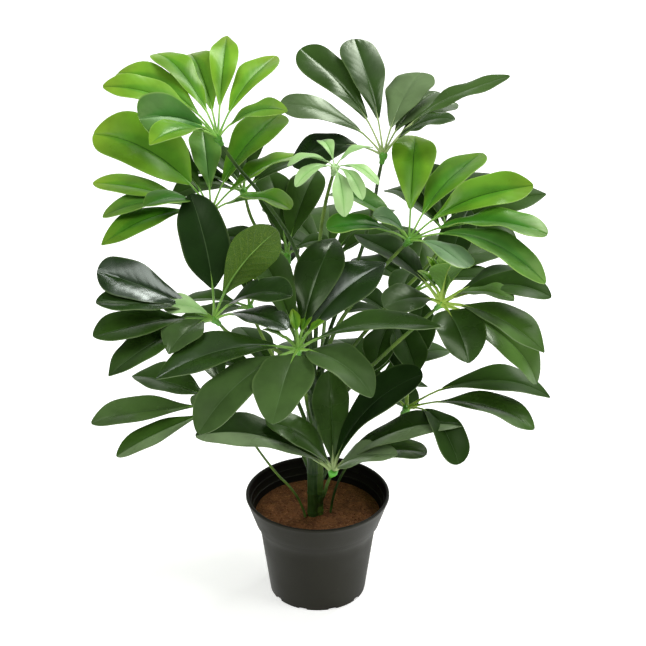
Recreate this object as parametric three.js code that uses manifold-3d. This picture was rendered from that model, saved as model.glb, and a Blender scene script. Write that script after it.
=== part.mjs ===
// Potted umbrella plant: a nursery pot, its soil, a branching trunk, two side stems and the
// leaf heads at their ends. Millimetres, +Z up, the front of the plant towards -Y.
// The origin is the middle of the pot's underside.

import * as THREE from 'three';
import { mergeVertices } from 'three/addons/utils/BufferGeometryUtils.js';
import Module from 'manifold-3d';

const wasm = await Module();
wasm.setup();

// Driving sizes of the pot
const potHeight = 95;
const rimRadius = 62.5;
const bandFoot = 60;          // height where the wall steps out to the flared rim band
const bandStep = 58.5;        // height where that step begins
const bandMiddle = 69;        // height where the band's flare turns steeper
const bandInside = 54.2;      // inside radius at that height
const wallTopRadius = 50;     // outside, just under the band
const footRadius = 42;        // outside, at the underside
const wallThickness = 1.8;
const floorThickness = 2.2;
const potSides = 28;

// Drain cuts round the foot, and the drain holes of the floor
const footCuts = 10;
const footCutWidth = 8;
const footCutDepth = 5;
const footCutHeight = 3.6;
const drainHoles = 5;
const drainRadius = 4;
const drainCircle = 24;
const drainSides = 12;

// Soil
const soilTop = 75;           // at its edge
const soilCrown = 1.4;        // how far it rises towards the middle
const soilGap = 0.3;          // between the soil and the pot
const stemGap = 0.4;          // between a stem and its hole in the soil
const stemDepth = 55;         // how deep the stems stand in the soil

// Leaf heads
const hubRadius = 4.2;
const hubSides = 6;
const hubCollar = 7;          // from the middle of a hub down to the end of its collar
const collarRadius = 2.2;
const restGap = 0.3;          // between the collar and the branch that carries it
const stalkRadius = 0.9;
const stalkShare = 0.27;      // share of a leaflet's length that is its thin stalk
const archShare = 0.12;       // how far a leaflet bows up, as a share of its length
const foldAngle = 18;         // each half of a blade stands up from the midrib by this angle
const edgeHalf = 0.4;         // half of the blade's thickness at its edge
const ribHalf = 0.6;          // half of the blade's thickness along its midrib

// Half width of a blade along its length, as shares of the length and of the half width
const bladeOutline = [[0, 0.12], [0.3, 0.66], [0.6, 1], [0.84, 0.8], [1, 0.12]];

const radians = THREE.MathUtils.degToRad;
const point = (x, y, z) => new THREE.Vector3(x, y, z);

// Every leaf head: where its hub is, the point that its branch comes from, its leaf colour, and
// its leaflets as [azimuth, rise, length, width, twist, arch]. Azimuth runs anticlockwise from +X
// and rise is the slope of the line from hub to tip, both in degrees. Twist turns the blade about
// its own length, and arch replaces the usual bow.
const heads = [
  {
    name: 'head_upper_left', hub: [-78, -10, 425], from: [-68, -5, 406], tone: 'light',
    leaflets: [
      [186, 24, 103, 32, -20], [157, 33, 100, 34], [126, 34, 96, 32], [108, 24, 100, 32],
      [85, 31, 110, 34], [60, 24, 98, 32], [335, 30, 74, 26, 60], [235, 12, 80, 30],
      [213, 36, 76, 34],
    ],
  },
  {
    name: 'head_left', hub: [-86, 5, 356], from: [-78, 3, 334], tone: 'light',
    leaflets: [
      [170, 38, 122, 42, -30], [180, 17, 98, 30], [224, 20, 74, 32], [198, 6, 90, 28],
      [212, -4, 98, 32], [54, 32, 108, 36], [36, 17, 96, 30], [330, 16, 78, 32],
      [134, 30, 86, 32], [98, 40, 80, 26],
    ],
  },
  {
    name: 'head_middle_left', hub: [-82, -55, 289], from: [-71, -51, 275], tone: 'dark',
    leaflets: [
      [108, 68, 101, 38], [340, 63, 94, 34, 90], [188, 28, 102, 40, -25], [202, 20, 100, 34],
      [205, 4, 100, 34], [216, -10, 100, 32], [238, 5, 58, 32], [328, 29, 83, 32],
      [326, 9, 72, 32],
    ],
  },
  {
    name: 'head_front', hub: [-15, -85, 277], from: [-13, -74, 258], tone: 'dark',
    leaflets: [
      [112, 36, 100, 36], [68, 36, 108, 40], [40, 23, 100, 36], [354, 12, 113, 34],
      [315, -5, 84, 40], [258, -16, 84, 46], [222, -20, 108, 40, -10], [198, -2, 114, 38, -20],
    ],
  },
  {
    name: 'head_right', hub: [100, -35, 293], from: [88, -33, 280], tone: 'dark',
    leaflets: [
      [347, 12, 90, 34, 20], [320, 25, 62, 28], [325, -12, 98, 38], [345, -32, 104, 34, 15],
      [288, -20, 70, 42], [215, 15, 60, 32], [136, 17, 100, 34], [284, 60, 58, 28],
      [200, 78, 42, 22], [25, 8, 98, 34], [78, 42, 88, 32],
    ],
  },
  {
    name: 'head_upper_right', hub: [73, -30, 346], from: [64, -20, 331], tone: 'light',
    leaflets: [
      [84, 38, 102, 40], [48, 27, 102, 38], [8, 26, 110, 34, 20], [345, 12, 112, 32],
      [333, -8, 119, 32, 0, 0.2], [310, -2, 66, 32], [190, 13, 68, 30], [145, 27, 67, 28],
      [230, 31, 42, 22],
    ],
  },
  {
    name: 'head_behind_right', hub: [108, 40, 320], from: [97, 33, 303], tone: 'dark',
    leaflets: [
      [15, 19, 88, 36, 15], [335, 10, 64, 30], [100, 28, 80, 34], [60, 20, 90, 34],
      [130, 15, 80, 32],
    ],
  },
  {
    name: 'head_top', hub: [53, 10, 403], from: [50, 9, 388], tone: 'dark',
    leaflets: [
      [142, 37, 114, 38], [110, 48, 104, 38], [180, 31, 94, 32], [184, -1, 70, 30, 0, 0.2],
      [80, 40, 86, 34], [57, 30, 84, 32], [38, 22, 82, 28], [10, 31, 119, 34, 20],
      [340, 32, 71, 30],
    ],
  },
  {
    name: 'head_new_leaves', hub: [14, -30, 408], from: [10, -25, 391], tone: 'new',
    leaflets: [
      [200, 12, 41, 13, 0, 0.2], [225, -6, 42, 13, 0, 0.2], [280, -29, 49, 16, 0, 0.2],
      [302, -17, 43, 12, 0, 0.2], [326, -7, 41, 13, 0, 0.2], [32, 16, 36, 12, 0, 0.2],
      [110, 20, 35, 12, 0, 0.2],
    ],
  },
  {
    name: 'head_behind_middle', hub: [-26, 55, 295], from: [-20, 46, 274], tone: 'dark',
    leaflets: [
      [105, 38, 90, 34], [60, 38, 92, 34], [45, 18, 68, 28], [340, 28, 44, 24],
      [135, 12, 80, 34], [175, 12, 70, 32],
    ],
  },
  {
    name: 'head_behind_left', hub: [-62, 60, 352], from: [-56, 54, 332], tone: 'dark',
    leaflets: [
      [128, 24, 60, 28], [200, 15, 48, 24], [35, 10, 70, 30], [85, 20, 80, 32],
      [165, 10, 66, 28],
    ],
  },
  {
    name: 'head_lower_left', hub: [-76, -5, 184], from: [-68, -8, 170], tone: 'dark',
    leaflets: [
      [192, 2, 117, 34, -20], [208, -13, 105, 32, -15], [172, 18, 92, 34], [118, 28, 68, 30],
      [236, 20, 46, 26],
    ],
  },
  {
    name: 'head_front_low', hub: [13, -45, 142], from: [9, -36, 127], tone: 'dark',
    leaflets: [
      [186, 17, 122, 38, -15], [180, 58, 76, 28], [88, 62, 85, 36], [355, 56, 124, 34],
      [332, 22, 65, 26], [5, 15, 116, 32, 10], [354, 11, 84, 30],
    ],
  },
  {
    name: 'head_lower_right', hub: [75, -15, 186], from: [66, -13, 172], tone: 'dark',
    leaflets: [
      [65, 40, 94, 36], [350, 10, 124, 34, 15], [338, 2, 112, 36], [305, -20, 74, 38, 0, 0.2],
      [250, 10, 40, 24], [25, 15, 90, 30],
    ],
  },
  {
    name: 'head_behind_front', hub: [64, 35, 246], from: [56, 30, 230], tone: 'dark',
    leaflets: [
      [135, 6, 54, 30], [250, -25, 58, 28], [288, -25, 62, 30], [200, 18, 46, 24],
      [70, 18, 70, 32],
    ],
  },
  {
    name: 'head_back_left', hub: [-60, 90, 230], from: [-52, 80, 214], tone: 'dark',
    leaflets: [
      [60, 20, 90, 36], [100, 15, 96, 36], [150, 0, 80, 34], [186, 6, 90, 32],
      [220, 0, 60, 30],
    ],
  },
  {
    name: 'head_back', hub: [10, 120, 260], from: [8, 108, 244], tone: 'dark',
    leaflets: [
      [90, 10, 96, 36], [50, 15, 94, 34], [130, 18, 92, 34], [170, 20, 70, 32],
      [10, 20, 76, 32],
    ],
  },
  {
    name: 'head_back_right', hub: [85, 100, 240], from: [76, 90, 224], tone: 'dark',
    leaflets: [
      [350, 10, 86, 34], [25, 15, 92, 36], [62, 10, 96, 36], [100, 20, 90, 34],
      [140, 10, 70, 32],
    ],
  },
  {
    name: 'head_low_back_left', hub: [-35, 72, 160], from: [-29, 60, 146], tone: 'dark',
    leaflets: [
      [75, 0, 90, 34], [115, 10, 92, 34], [155, 5, 90, 32], [195, 5, 70, 30],
      [35, 15, 60, 30],
    ],
  },
  {
    name: 'head_low_back_right', hub: [48, 75, 158], from: [40, 62, 144], tone: 'dark',
    leaflets: [
      [72, 5, 92, 34], [32, 10, 90, 34], [350, 5, 86, 32], [112, 12, 76, 32],
      [310, 5, 60, 28],
    ],
  },
];

// The trunk's two strands, which have grown together, and every branch: its points from the
// trunk up to the point just under its head
const stemFoot = soilTop - stemDepth;

const trunkStrands = [
  {
    radius: [5.6, 5.2, 4.6, 3.6],
    path: [[-4, -6, stemFoot], [-4, -6, 120], [-5, -2, 180], [-4, 2, 232]],
  },
  {
    radius: [3.4, 3.2, 3, 2.6],
    path: [[1.5, -5, stemFoot], [2, -5, 110], [2, -1, 165], [1, 4, 212]],
  },
];

const branches = {
  head_upper_left: [[-4, 0, 215], [-8, 4, 268], [-16, 12, 314], [-44, 12, 366]],
  head_left: [[-5, 0, 205], [-23, -4, 259], [-55, 0, 305]],
  head_middle_left: [[-5, -2, 190], [-26, -26, 240], [-48, -41, 262]],
  head_front: [[-5, -4, 165], [-9, -34, 205], [-11, -62, 238]],
  head_right: [[1, -1, 165], [26, -14, 204], [53, -25, 240]],
  head_upper_right: [[2, 2, 205], [16, -8, 258], [42, -12, 300]],
  head_behind_right: [[0, 3, 190], [30, 2, 236], [66, 14, 276]],
  head_top: [[0, 4, 208], [12, 26, 244], [34, 58, 288], [47, 38, 352]],
  head_new_leaves: [[-2, 2, 225], [0, 8, 280], [2, 4, 330], [6, -14, 368]],
  head_behind_middle: [[-4, 4, 215], [-12, 28, 250]],
  head_behind_left: [[-5, 3, 222], [-24, 26, 276], [-44, 44, 312]],
  head_front_low: [[2, -6, 88], [6, -20, 106]],
  head_behind_front: [[1, 1, 170], [22, 12, 195], [44, 24, 216]],
  head_back_left: [[-5, 0, 150], [-22, 34, 178], [-42, 66, 200]],
  head_back: [[-2, 4, 190], [4, 50, 212], [7, 92, 230]],
  head_back_right: [[2, 2, 160], [30, 40, 186], [62, 76, 210]],
  head_low_back_left: [[-5, -3, 112], [-14, 24, 122], [-24, 48, 136]],
  head_low_back_right: [[2, -3, 106], [16, 26, 118], [32, 50, 134]],
};

const sideStems = {
  stem_side_left: {
    head: 'head_lower_left',
    path: [[-15, -9, stemFoot], [-15, -9, 82], [-24, -12, 114], [-36, -13, 130], [-52, -13, 150]],
  },
  stem_side_right: {
    head: 'head_lower_right',
    path: [[12, -3, stemFoot], [12, -3, 82], [22, 4, 112], [46, 4, 144]],
  },
};

const branchRadius = [2.3, 1.9];      // at the trunk and at the head
const sideStemRadius = [1.8, 1.7];
const branchSides = 5;
const strandSides = 8;

// Closed shells from rings of points

function shell(rings) {
  const count = rings[0].length;
  const positions = rings.flat().flatMap((p) => [p.x, p.y, p.z]);
  const index = [];
  for (let i = 0; i + 1 < rings.length; i += 1) {
    for (let j = 0; j < count; j += 1) {
      const a = i * count + j;
      const b = i * count + ((j + 1) % count);
      index.push(a, b + count, b, a, a + count, b + count);
    }
  }
  const last = (rings.length - 1) * count;
  for (let j = 1; j + 1 < count; j += 1) {
    index.push(0, j, j + 1, last, last + j + 1, last + j);
  }
  const geometry = new THREE.BufferGeometry();
  geometry.setAttribute('position', new THREE.Float32BufferAttribute(positions, 3));
  geometry.setIndex(index);
  return geometry;
}

function toSolid(geometry) {
  const bare = geometry.clone();
  bare.deleteAttribute('normal');
  bare.deleteAttribute('uv');
  const merged = mergeVertices(bare, 1e-4);
  const corners = merged.index.array;
  const triangles = [];
  for (let i = 0; i < corners.length; i += 3) {
    const [a, b, c] = corners.subarray(i, i + 3);
    if (a !== b && b !== c && c !== a) triangles.push(a, b, c);
  }
  return new wasm.Manifold(new wasm.Mesh({
    numProp: 3,
    vertProperties: new Float32Array(merged.attributes.position.array),
    triVerts: new Uint32Array(triangles),
  }));
}

function toGeometry(solid) {
  const mesh = solid.getMesh();
  const geometry = new THREE.BufferGeometry();
  geometry.setAttribute('position', new THREE.BufferAttribute(mesh.vertProperties, 3));
  geometry.setIndex(new THREE.BufferAttribute(mesh.triVerts, 1));
  geometry.computeVertexNormals();
  return geometry;
}

function join(solids) {
  return solids.reduce((whole, solid) => whole.add(solid));
}

// A round rod with one ring at each point, square to a smooth curve through the points, its radius
// running through the radii

function rod(points, radii, sides) {
  const curve = new THREE.CatmullRomCurve3(points.map((p) => point(...p)), false, 'centripetal');
  const pieces = points.length - 1;
  const rings = [];
  let across = point(1, 0, 0);
  for (let i = 0; i <= pieces; i += 1) {
    const share = i / pieces;
    const along = curve.getTangent(share);
    across = across.clone().addScaledVector(along, -across.dot(along)).normalize();
    const over = along.clone().cross(across);
    const place = share * (radii.length - 1);
    const low = Math.min(Math.floor(place), radii.length - 2);
    const radius = THREE.MathUtils.lerp(radii[low], radii[low + 1], place - low);
    const middle = curve.getPoint(share);
    rings.push(Array.from({ length: sides }, (_, j) => {
      const turn = (j / sides) * 2 * Math.PI;
      return middle.clone()
        .addScaledVector(across, radius * Math.cos(turn))
        .addScaledVector(over, -radius * Math.sin(turn));
    }));
  }
  return toSolid(shell(rings));
}

// One leaflet: a thin stalk that widens into a folded, arched blade

function leaflet(hub, [azimuth, rise, length, width, twist = 0, arch = archShare]) {
  const turn = radians(azimuth);
  const slope = radians(rise);
  const level = point(Math.cos(turn), Math.sin(turn), 0);
  const heading = level.clone().multiplyScalar(Math.cos(slope)).setZ(Math.sin(slope));
  const right = point(Math.sin(turn), -Math.cos(turn), 0);
  const above = right.clone().cross(heading);
  const tip = hub.clone().addScaledVector(heading, length);
  const crest = hub.clone().lerp(tip, 0.5).addScaledVector(above, 2 * arch * length);
  const spine = new THREE.QuadraticBezierCurve3(hub, crest, tip);

  const ring = (share, halfWidth, halfEdge, halfRib) => {
    const middle = spine.getPoint(share);
    const along = spine.getTangent(share);
    const side = right.clone().addScaledVector(along, -right.dot(along)).normalize();
    side.applyAxisAngle(along, radians(twist));
    const normal = side.clone().cross(along);
    const lift = Math.tan(radians(foldAngle)) * halfWidth;
    const at = (x, z) => middle.clone().addScaledVector(side, x).addScaledVector(normal, z);
    return [
      at(halfWidth, lift - halfEdge), at(halfWidth, lift + halfEdge), at(0, halfRib),
      at(-halfWidth, lift + halfEdge), at(-halfWidth, lift - halfEdge), at(0, -halfRib),
    ];
  };

  const rings = [ring(0.4 * hubRadius / length, stalkRadius, 0, stalkRadius)];
  for (const [share, part] of bladeOutline) {
    const halfWidth = part * width * Math.cos(radians(foldAngle)) / 2;
    rings.push(ring(stalkShare + (1 - stalkShare) * share, halfWidth, edgeHalf, ribHalf));
  }
  return toSolid(shell(rings));
}

// The hub of a head: a small knob with a collar, pointing along the end of its branch

function hubKnob(hub, from) {
  const profile = [
    [0, -hubCollar], [collarRadius, -hubCollar], [hubRadius, -0.4 * hubRadius],
    [0.95 * hubRadius, 0.6 * hubRadius], [0, 0.85 * hubRadius],
  ];
  const lathe = new THREE.LatheGeometry(profile.map(([x, y]) => new THREE.Vector2(x, y)), hubSides);
  const axis = hub.clone().sub(from).normalize();
  lathe.applyQuaternion(new THREE.Quaternion().setFromUnitVectors(point(0, 1, 0), axis));
  lathe.translate(hub.x, hub.y, hub.z);
  return toSolid(lathe);
}

function leafHead({ hub, from, leaflets }) {
  const middle = point(...hub);
  const blades = leaflets.map((values) => leaflet(middle, values));
  return join([hubKnob(middle, point(...from)), ...blades]);
}

// The point where a branch ends, just clear of the collar that it carries

function branchEnd({ hub, from }) {
  const middle = point(...hub);
  const axis = middle.clone().sub(point(...from)).normalize();
  return middle.addScaledVector(axis, -(hubCollar + restGap)).toArray();
}

// Trunk and side stems

const headByName = Object.fromEntries(heads.map((head) => [head.name, head]));

function trunk() {
  const strands = trunkStrands.map(({ path, radius }) => rod(path, radius, strandSides));
  const limbs = Object.entries(branches).map(([name, path]) => {
    const head = headByName[name];
    return rod([...path, head.from, branchEnd(head)], branchRadius, branchSides);
  });
  return join([...strands, ...limbs]);
}

function sideStem({ head, path }) {
  const { from } = headByName[head];
  return rod([...path, from, branchEnd(headByName[head])], sideStemRadius, branchSides);
}

// Pot

function turned(profile, sides) {
  const lathe = new THREE.LatheGeometry(profile.map(([x, y]) => new THREE.Vector2(x, y)), sides);
  lathe.rotateX(Math.PI / 2);
  return toSolid(lathe);
}

function cutter(geometry, radius, turn, height) {
  geometry.translate(radius, 0, height);
  geometry.rotateZ(turn);
  return toSolid(geometry);
}

function pot() {
  const outside = [
    [0, 0], [footRadius, 0], [wallTopRadius, bandStep], [wallTopRadius + wallThickness, bandFoot],
    [bandInside + 2.4, bandMiddle], [60.6, 88], [rimRadius, potHeight - 2.2],
    [rimRadius, potHeight - 0.8],
  ];
  // The mouth steps in twice below the rounded lip
  const mouth = [
    [rimRadius - 1.2, potHeight], [59.4, 93.4], [58.8, 87], [57.6, 86], [57.2, 80], [56.2, 79],
  ];
  const inside = [
    [bandInside, bandMiddle], [wallTopRadius - wallThickness, bandFoot],
    [footRadius - wallThickness, floorThickness], [0, floorThickness],
  ];
  let body = turned([...outside, ...mouth, ...inside], potSides);
  for (let i = 0; i < footCuts; i += 1) {
    const turn = (i / footCuts) * 2 * Math.PI;
    const cut = new THREE.BoxGeometry(footCutDepth, footCutWidth, 2 * footCutHeight);
    body = body.subtract(cutter(cut, footRadius, turn, 0));
  }
  for (let i = 0; i < drainHoles; i += 1) {
    const turn = ((i + 0.5) / drainHoles) * 2 * Math.PI;
    const hole = new THREE.CylinderGeometry(
      drainRadius, drainRadius, 3 * floorThickness, drainSides);
    hole.rotateX(Math.PI / 2);
    body = body.subtract(cutter(hole, drainCircle, turn, 0));
  }
  return body;
}

// Soil: it fills the pot down to its floor and has a plain hole for each stem

function stemHole([foot, collar], radius) {
  const [x, y, z] = foot;
  const wide = radius + stemGap;
  return rod([[x, y, z - stemGap], collar], [wide, wide], strandSides);
}

function soil() {
  const slope = (wallTopRadius - footRadius) / bandStep;
  const wallInside = (height) => footRadius - wallThickness - soilGap + slope * height;
  const bottom = floorThickness + soilGap;
  const profile = [
    [0, bottom], [wallInside(bottom), bottom], [wallInside(bandFoot) - 0.6, bandFoot],
    [bandInside - 0.5, bandMiddle], [bandInside + 0.8, soilTop - 1], [bandInside - 1, soilTop],
    [20, soilTop + soilCrown], [0, soilTop + 0.7 * soilCrown],
  ];
  const holes = [
    ...trunkStrands.map(({ path, radius }) => stemHole(path, radius[0])),
    ...Object.values(sideStems).map(({ path }) => stemHole(path, sideStemRadius[0])),
  ];
  return holes.reduce((body, hole) => body.subtract(hole), turned(profile, potSides));
}

// Materials

const leafColours = { light: 0x5f9e2e, dark: 0x2c4a24, new: 0x9bcc7d };

function leafMaterial(tone) {
  return new THREE.MeshStandardMaterial({
    color: leafColours[tone], roughness: 0.35, metalness: 0, flatShading: true,
  });
}

const stemMaterial = new THREE.MeshStandardMaterial({
  color: 0x3f6a2a, roughness: 0.5, metalness: 0, flatShading: true,
});
const potMaterial = new THREE.MeshStandardMaterial({ color: 0x38383a, roughness: 0.5, metalness: 0 });
const soilMaterial = new THREE.MeshStandardMaterial({ color: 0x4a2f1a, roughness: 1, metalness: 0 });

// Assembly

function addPiece(group, name, solid, material) {
  const mesh = new THREE.Mesh(toGeometry(solid), material);
  mesh.name = name;
  group.add(mesh);
}

const plant = new THREE.Group();
addPiece(plant, 'pot', pot(), potMaterial);
addPiece(plant, 'soil', soil(), soilMaterial);
addPiece(plant, 'trunk', trunk(), stemMaterial);
for (const [name, stem] of Object.entries(sideStems)) {
  addPiece(plant, name, sideStem(stem), stemMaterial);
}
for (const head of heads) {
  addPiece(plant, head.name, leafHead(head), leafMaterial(head.tone));
}

export default plant;
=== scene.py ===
import math
import random

import bpy
from mathutils import Matrix, Quaternion, Vector
from mathutils.kdtree import KDTree


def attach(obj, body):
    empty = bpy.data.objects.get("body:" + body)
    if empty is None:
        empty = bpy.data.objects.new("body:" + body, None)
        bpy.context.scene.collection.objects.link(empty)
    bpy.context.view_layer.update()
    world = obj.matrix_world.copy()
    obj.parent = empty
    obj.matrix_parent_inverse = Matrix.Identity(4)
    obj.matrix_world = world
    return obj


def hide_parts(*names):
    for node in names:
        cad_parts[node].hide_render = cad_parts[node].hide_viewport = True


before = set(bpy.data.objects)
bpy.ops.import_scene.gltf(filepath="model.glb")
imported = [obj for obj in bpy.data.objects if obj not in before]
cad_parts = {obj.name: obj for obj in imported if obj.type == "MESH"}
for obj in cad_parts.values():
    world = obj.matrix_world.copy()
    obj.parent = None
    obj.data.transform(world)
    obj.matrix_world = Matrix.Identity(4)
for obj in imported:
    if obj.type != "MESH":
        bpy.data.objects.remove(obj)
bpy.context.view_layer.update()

mm = 0.001


def clearSelection():
    if bpy.context.object and bpy.context.object.mode != "OBJECT":
        bpy.ops.object.mode_set(mode="OBJECT")
    bpy.ops.object.select_all(action="DESELECT")


def pick(*objects):
    clearSelection()
    for thing in objects:
        thing.select_set(True)
    bpy.context.view_layer.objects.active = objects[0]


def added(operator, **settings):
    clearSelection()
    operator(**settings)
    return bpy.context.object


def editMode():
    bpy.ops.object.mode_set(mode="EDIT")


def editAll():
    editMode()
    bpy.ops.mesh.select_all(action="SELECT")


def objectMode():
    bpy.ops.object.mode_set(mode="OBJECT")


def addModifier(thing, name, kind, **settings):
    modifier = thing.modifiers.new(name, kind)
    for title, value in settings.items():
        setattr(modifier, title, value)


def applyModifiers(thing):
    pick(thing)
    for modifier in list(thing.modifiers):
        bpy.ops.object.modifier_apply(modifier=modifier.name)


def applyPlace(thing):
    pick(thing)
    bpy.ops.object.transform_apply(location=True, rotation=True, scale=True)


def copyOf(thing, name):
    twin = thing.copy()
    twin.data = thing.data.copy()
    twin.name = name
    bpy.context.collection.objects.link(twin)
    return twin


def joined(things, name):
    pick(*things)
    if len(things) > 1:
        bpy.ops.object.join()
    whole = bpy.context.object
    whole.name = name
    whole.data.name = name
    return whole


def smoothByAngle(thing, degrees):
    pick(thing)
    bpy.ops.object.shade_smooth_by_angle(angle=math.radians(degrees))


def normalsOut(thing):
    pick(thing)
    editAll()
    bpy.ops.mesh.normals_make_consistent(inside=False)
    objectMode()


def giveMaterials(thing, *materials):
    thing.data.materials.clear()
    for material in materials:
        thing.data.materials.append(material)


def paintValue(thing, name, values):
    layer = thing.data.attributes.get(name) or thing.data.attributes.new(name, "FLOAT", "POINT")
    if isinstance(values, (int, float)):
        values = [values] * len(thing.data.vertices)
    layer.data.foreach_set("value", values)


def finishPiece(thing, slot, *nodes):
    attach(thing, "root")
    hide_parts(*nodes)


# pulls what is selected on by one step and scales its new end about the origin
def drawOn(step, scale=None):
    bpy.ops.mesh.extrude_region_move(TRANSFORM_OT_translate={"value": step})
    if scale:
        bpy.ops.transform.resize(value=scale, center_override=(0, 0, 0))


# a turned body: a ring is drawn from point to point of the profile, and both ends are filled
def ringsUp(profile, sides, name):
    radius, height = profile[0]
    body = added(
        bpy.ops.mesh.primitive_circle_add, vertices=sides, radius=radius * mm,
        fill_type="NOTHING", location=(0, 0, height * mm))
    applyPlace(body)
    editAll()
    bpy.ops.mesh.edge_face_add()
    for nextRadius, nextHeight in profile[1:]:
        grow = nextRadius / radius
        drawOn((0, 0, (nextHeight - height) * mm), (grow, grow, 1) if grow != 1 else None)
        radius, height = nextRadius, nextHeight
    objectMode()
    body.name = name
    return body


def newMaterial(name):
    material = bpy.data.materials.new(name)
    material.use_nodes = True
    return material, material.node_tree, material.node_tree.nodes["Principled BSDF"]


def put(tree, socket, value):
    if isinstance(value, bpy.types.NodeSocket):
        tree.links.new(value, socket)
    else:
        socket.default_value = value


def setSockets(tree, node, sockets):
    for title, value in sockets.items():
        put(tree, node.inputs[title], value)


def addNode(tree, kind, sockets=None, **settings):
    node = tree.nodes.new("ShaderNode" + kind)
    for title, value in settings.items():
        setattr(node, title, value)
    setSockets(tree, node, sockets or {})
    return node.outputs


def calc(tree, operation, first, second=0.5, clamp=False):
    return addNode(
        tree, "Math", {0: first, 1: second}, operation=operation, use_clamp=clamp)[0]


def fade(tree, value, low, high, fromValue=0.0, toValue=1.0):
    sockets = {
        "Value": value, "From Min": low, "From Max": high, "To Min": fromValue, "To Max": toValue}
    return addNode(tree, "MapRange", sockets, interpolation_type="SMOOTHSTEP")["Result"]


def blend(tree, factor, first, second, mode="MIX"):
    sockets = {"Factor": factor, "A": first, "B": second}
    return addNode(tree, "Mix", sockets, data_type="RGBA", blend_type=mode)["Result"]


def noise(tree, coordinates, scale, detail=3.0, rough=0.5):
    return addNode(tree, "TexNoise", {
        "Scale": scale, "Detail": detail, "Roughness": rough, "Vector": coordinates})["Fac"]


def stretched(tree, coordinates, scale):
    return addNode(tree, "Mapping", {"Scale": scale, "Vector": coordinates})["Vector"]


def bump(tree, height, strength, distance):
    return addNode(
        tree, "Bump", {"Strength": strength, "Distance": distance, "Height": height})["Normal"]


def greyFrom(tree, value):
    return addNode(tree, "CombineColor", {0: value, 1: value, 2: value})[0]


def objectPlace(tree):
    return addNode(tree, "TexCoord")["Object"]


def uvPlace(tree):
    return addNode(tree, "UVMap", uv_map="blade")["UV"]


def attributeValue(tree, name):
    return addNode(tree, "Attribute", attribute_name=name)["Fac"]


def newGroup(name, inputs, outputs):
    group = bpy.data.node_groups.new(name, "ShaderNodeTree")
    for title, kind, value in inputs:
        socket = group.interface.new_socket(title, in_out="INPUT", socket_type=kind)
        if value is not None:
            socket.default_value = value
    for title, kind in outputs:
        group.interface.new_socket(title, in_out="OUTPUT", socket_type=kind)
    start = group.nodes.new("NodeGroupInput")
    end = group.nodes.new("NodeGroupOutput")
    return group, start.outputs, end


def useGroup(tree, group, **sockets):
    return addNode(tree, "Group", sockets, node_tree=group)


# the side veins, in the leaf's colour and in its shape: how many there are, how far they lean
# towards the tip, and how much they curve
sideVeins = {"count": 9.0, "slant": 2.2, "curve": 0.8}

# widths are shares of the half blade, and places along it run from 0 at the stalk to 1 at the tip
leafPatternForm = {
    "ribWidth": 0.05, "ribTaper": 0.3,
    "wobbleScale": 7.0, "wobble": 0.7,      # makes the side veins uneven
    "veinWidth": 0.09, "veinEnds": (0.72, 0.95),
    "cells": (60, 34, 1), "netWidth": 0.12,     # small veins, along and across
    "margin": 0.9,
    "wedge": (0.25, 0.85, 0.12),    # where the middle field narrows, its first and last width
    "wedgeCore": 0.35,
    "tip": 0.72,
    "swellEdge": 0.4, "swell": 0.6, "ribDepth": 1.2,
}


# midrib, side veins, net of small veins and margin, from the blade's own UV map
def makeLeafPattern():
    form = leafPatternForm
    number = "NodeSocketFloat"
    group, given, end = newGroup(
        "leafPattern",
        [("Place", "NodeSocketVector", None), ("veins", number, sideVeins["count"]),
         ("slant", number, sideVeins["slant"]), ("ribWidth", number, form["ribWidth"])],
        [(title, number) for title in ("Rib", "Veins", "Net", "Margin", "Wedge", "Tip", "Height")])
    parts = addNode(group, "SeparateXYZ", {0: given["Place"]})
    along = parts["X"]  # 0 at the stalk, 1 at the tip
    across = calc(group, "MULTIPLY", parts["Y"], 2.0)
    across = calc(group, "ABSOLUTE", calc(group, "SUBTRACT", across, 1.0))
    wobble = noise(group, given["Place"], form["wobbleScale"], 2.0)
    taper = fade(group, along, 0.0, 1.0, 1.0, form["ribTaper"])
    rib = fade(group, across, 0.0, calc(group, "MULTIPLY", given["ribWidth"], taper), 1.0, 0.0)
    lean = calc(group, "MULTIPLY", calc(group, "POWER", across, sideVeins["curve"]), given["slant"])
    phase = calc(group, "SUBTRACT", calc(group, "MULTIPLY", along, given["veins"]), lean)
    phase = calc(group, "ADD", phase, calc(group, "MULTIPLY", wobble, form["wobble"]))
    ridge = calc(group, "PINGPONG", phase, 0.5)  # 0 on a vein, 0.5 halfway between two
    veins = fade(group, ridge, 0.0, form["veinWidth"], 1.0, 0.0)
    veins = calc(group, "MULTIPLY", veins, fade(group, across, *form["veinEnds"], 1.0, 0.0))
    cells = addNode(
        group, "TexVoronoi",
        {"Scale": 1.0, "Vector": stretched(group, given["Place"], form["cells"])},
        feature="DISTANCE_TO_EDGE")["Distance"]
    narrowFrom, wide, narrow = form["wedge"]
    narrowing = fade(group, along, narrowFrom, 1.0, wide, narrow)
    core = calc(group, "MULTIPLY", narrowing, form["wedgeCore"])
    swell = calc(group, "MULTIPLY", fade(group, ridge, 0.0, form["swellEdge"]), form["swell"])
    setSockets(group, end, {
        "Rib": rib,
        "Veins": veins,
        "Net": fade(group, cells, 0.0, form["netWidth"], 1.0, 0.0),
        "Margin": fade(group, across, form["margin"], 1.0),
        "Wedge": fade(group, across, core, narrowing, 1.0, 0.0),
        "Tip": fade(group, along, form["tip"], 1.0),
        "Height": calc(group, "SUBTRACT", swell, calc(group, "MULTIPLY", rib, form["ribDepth"])),
    })
    return group


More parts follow.
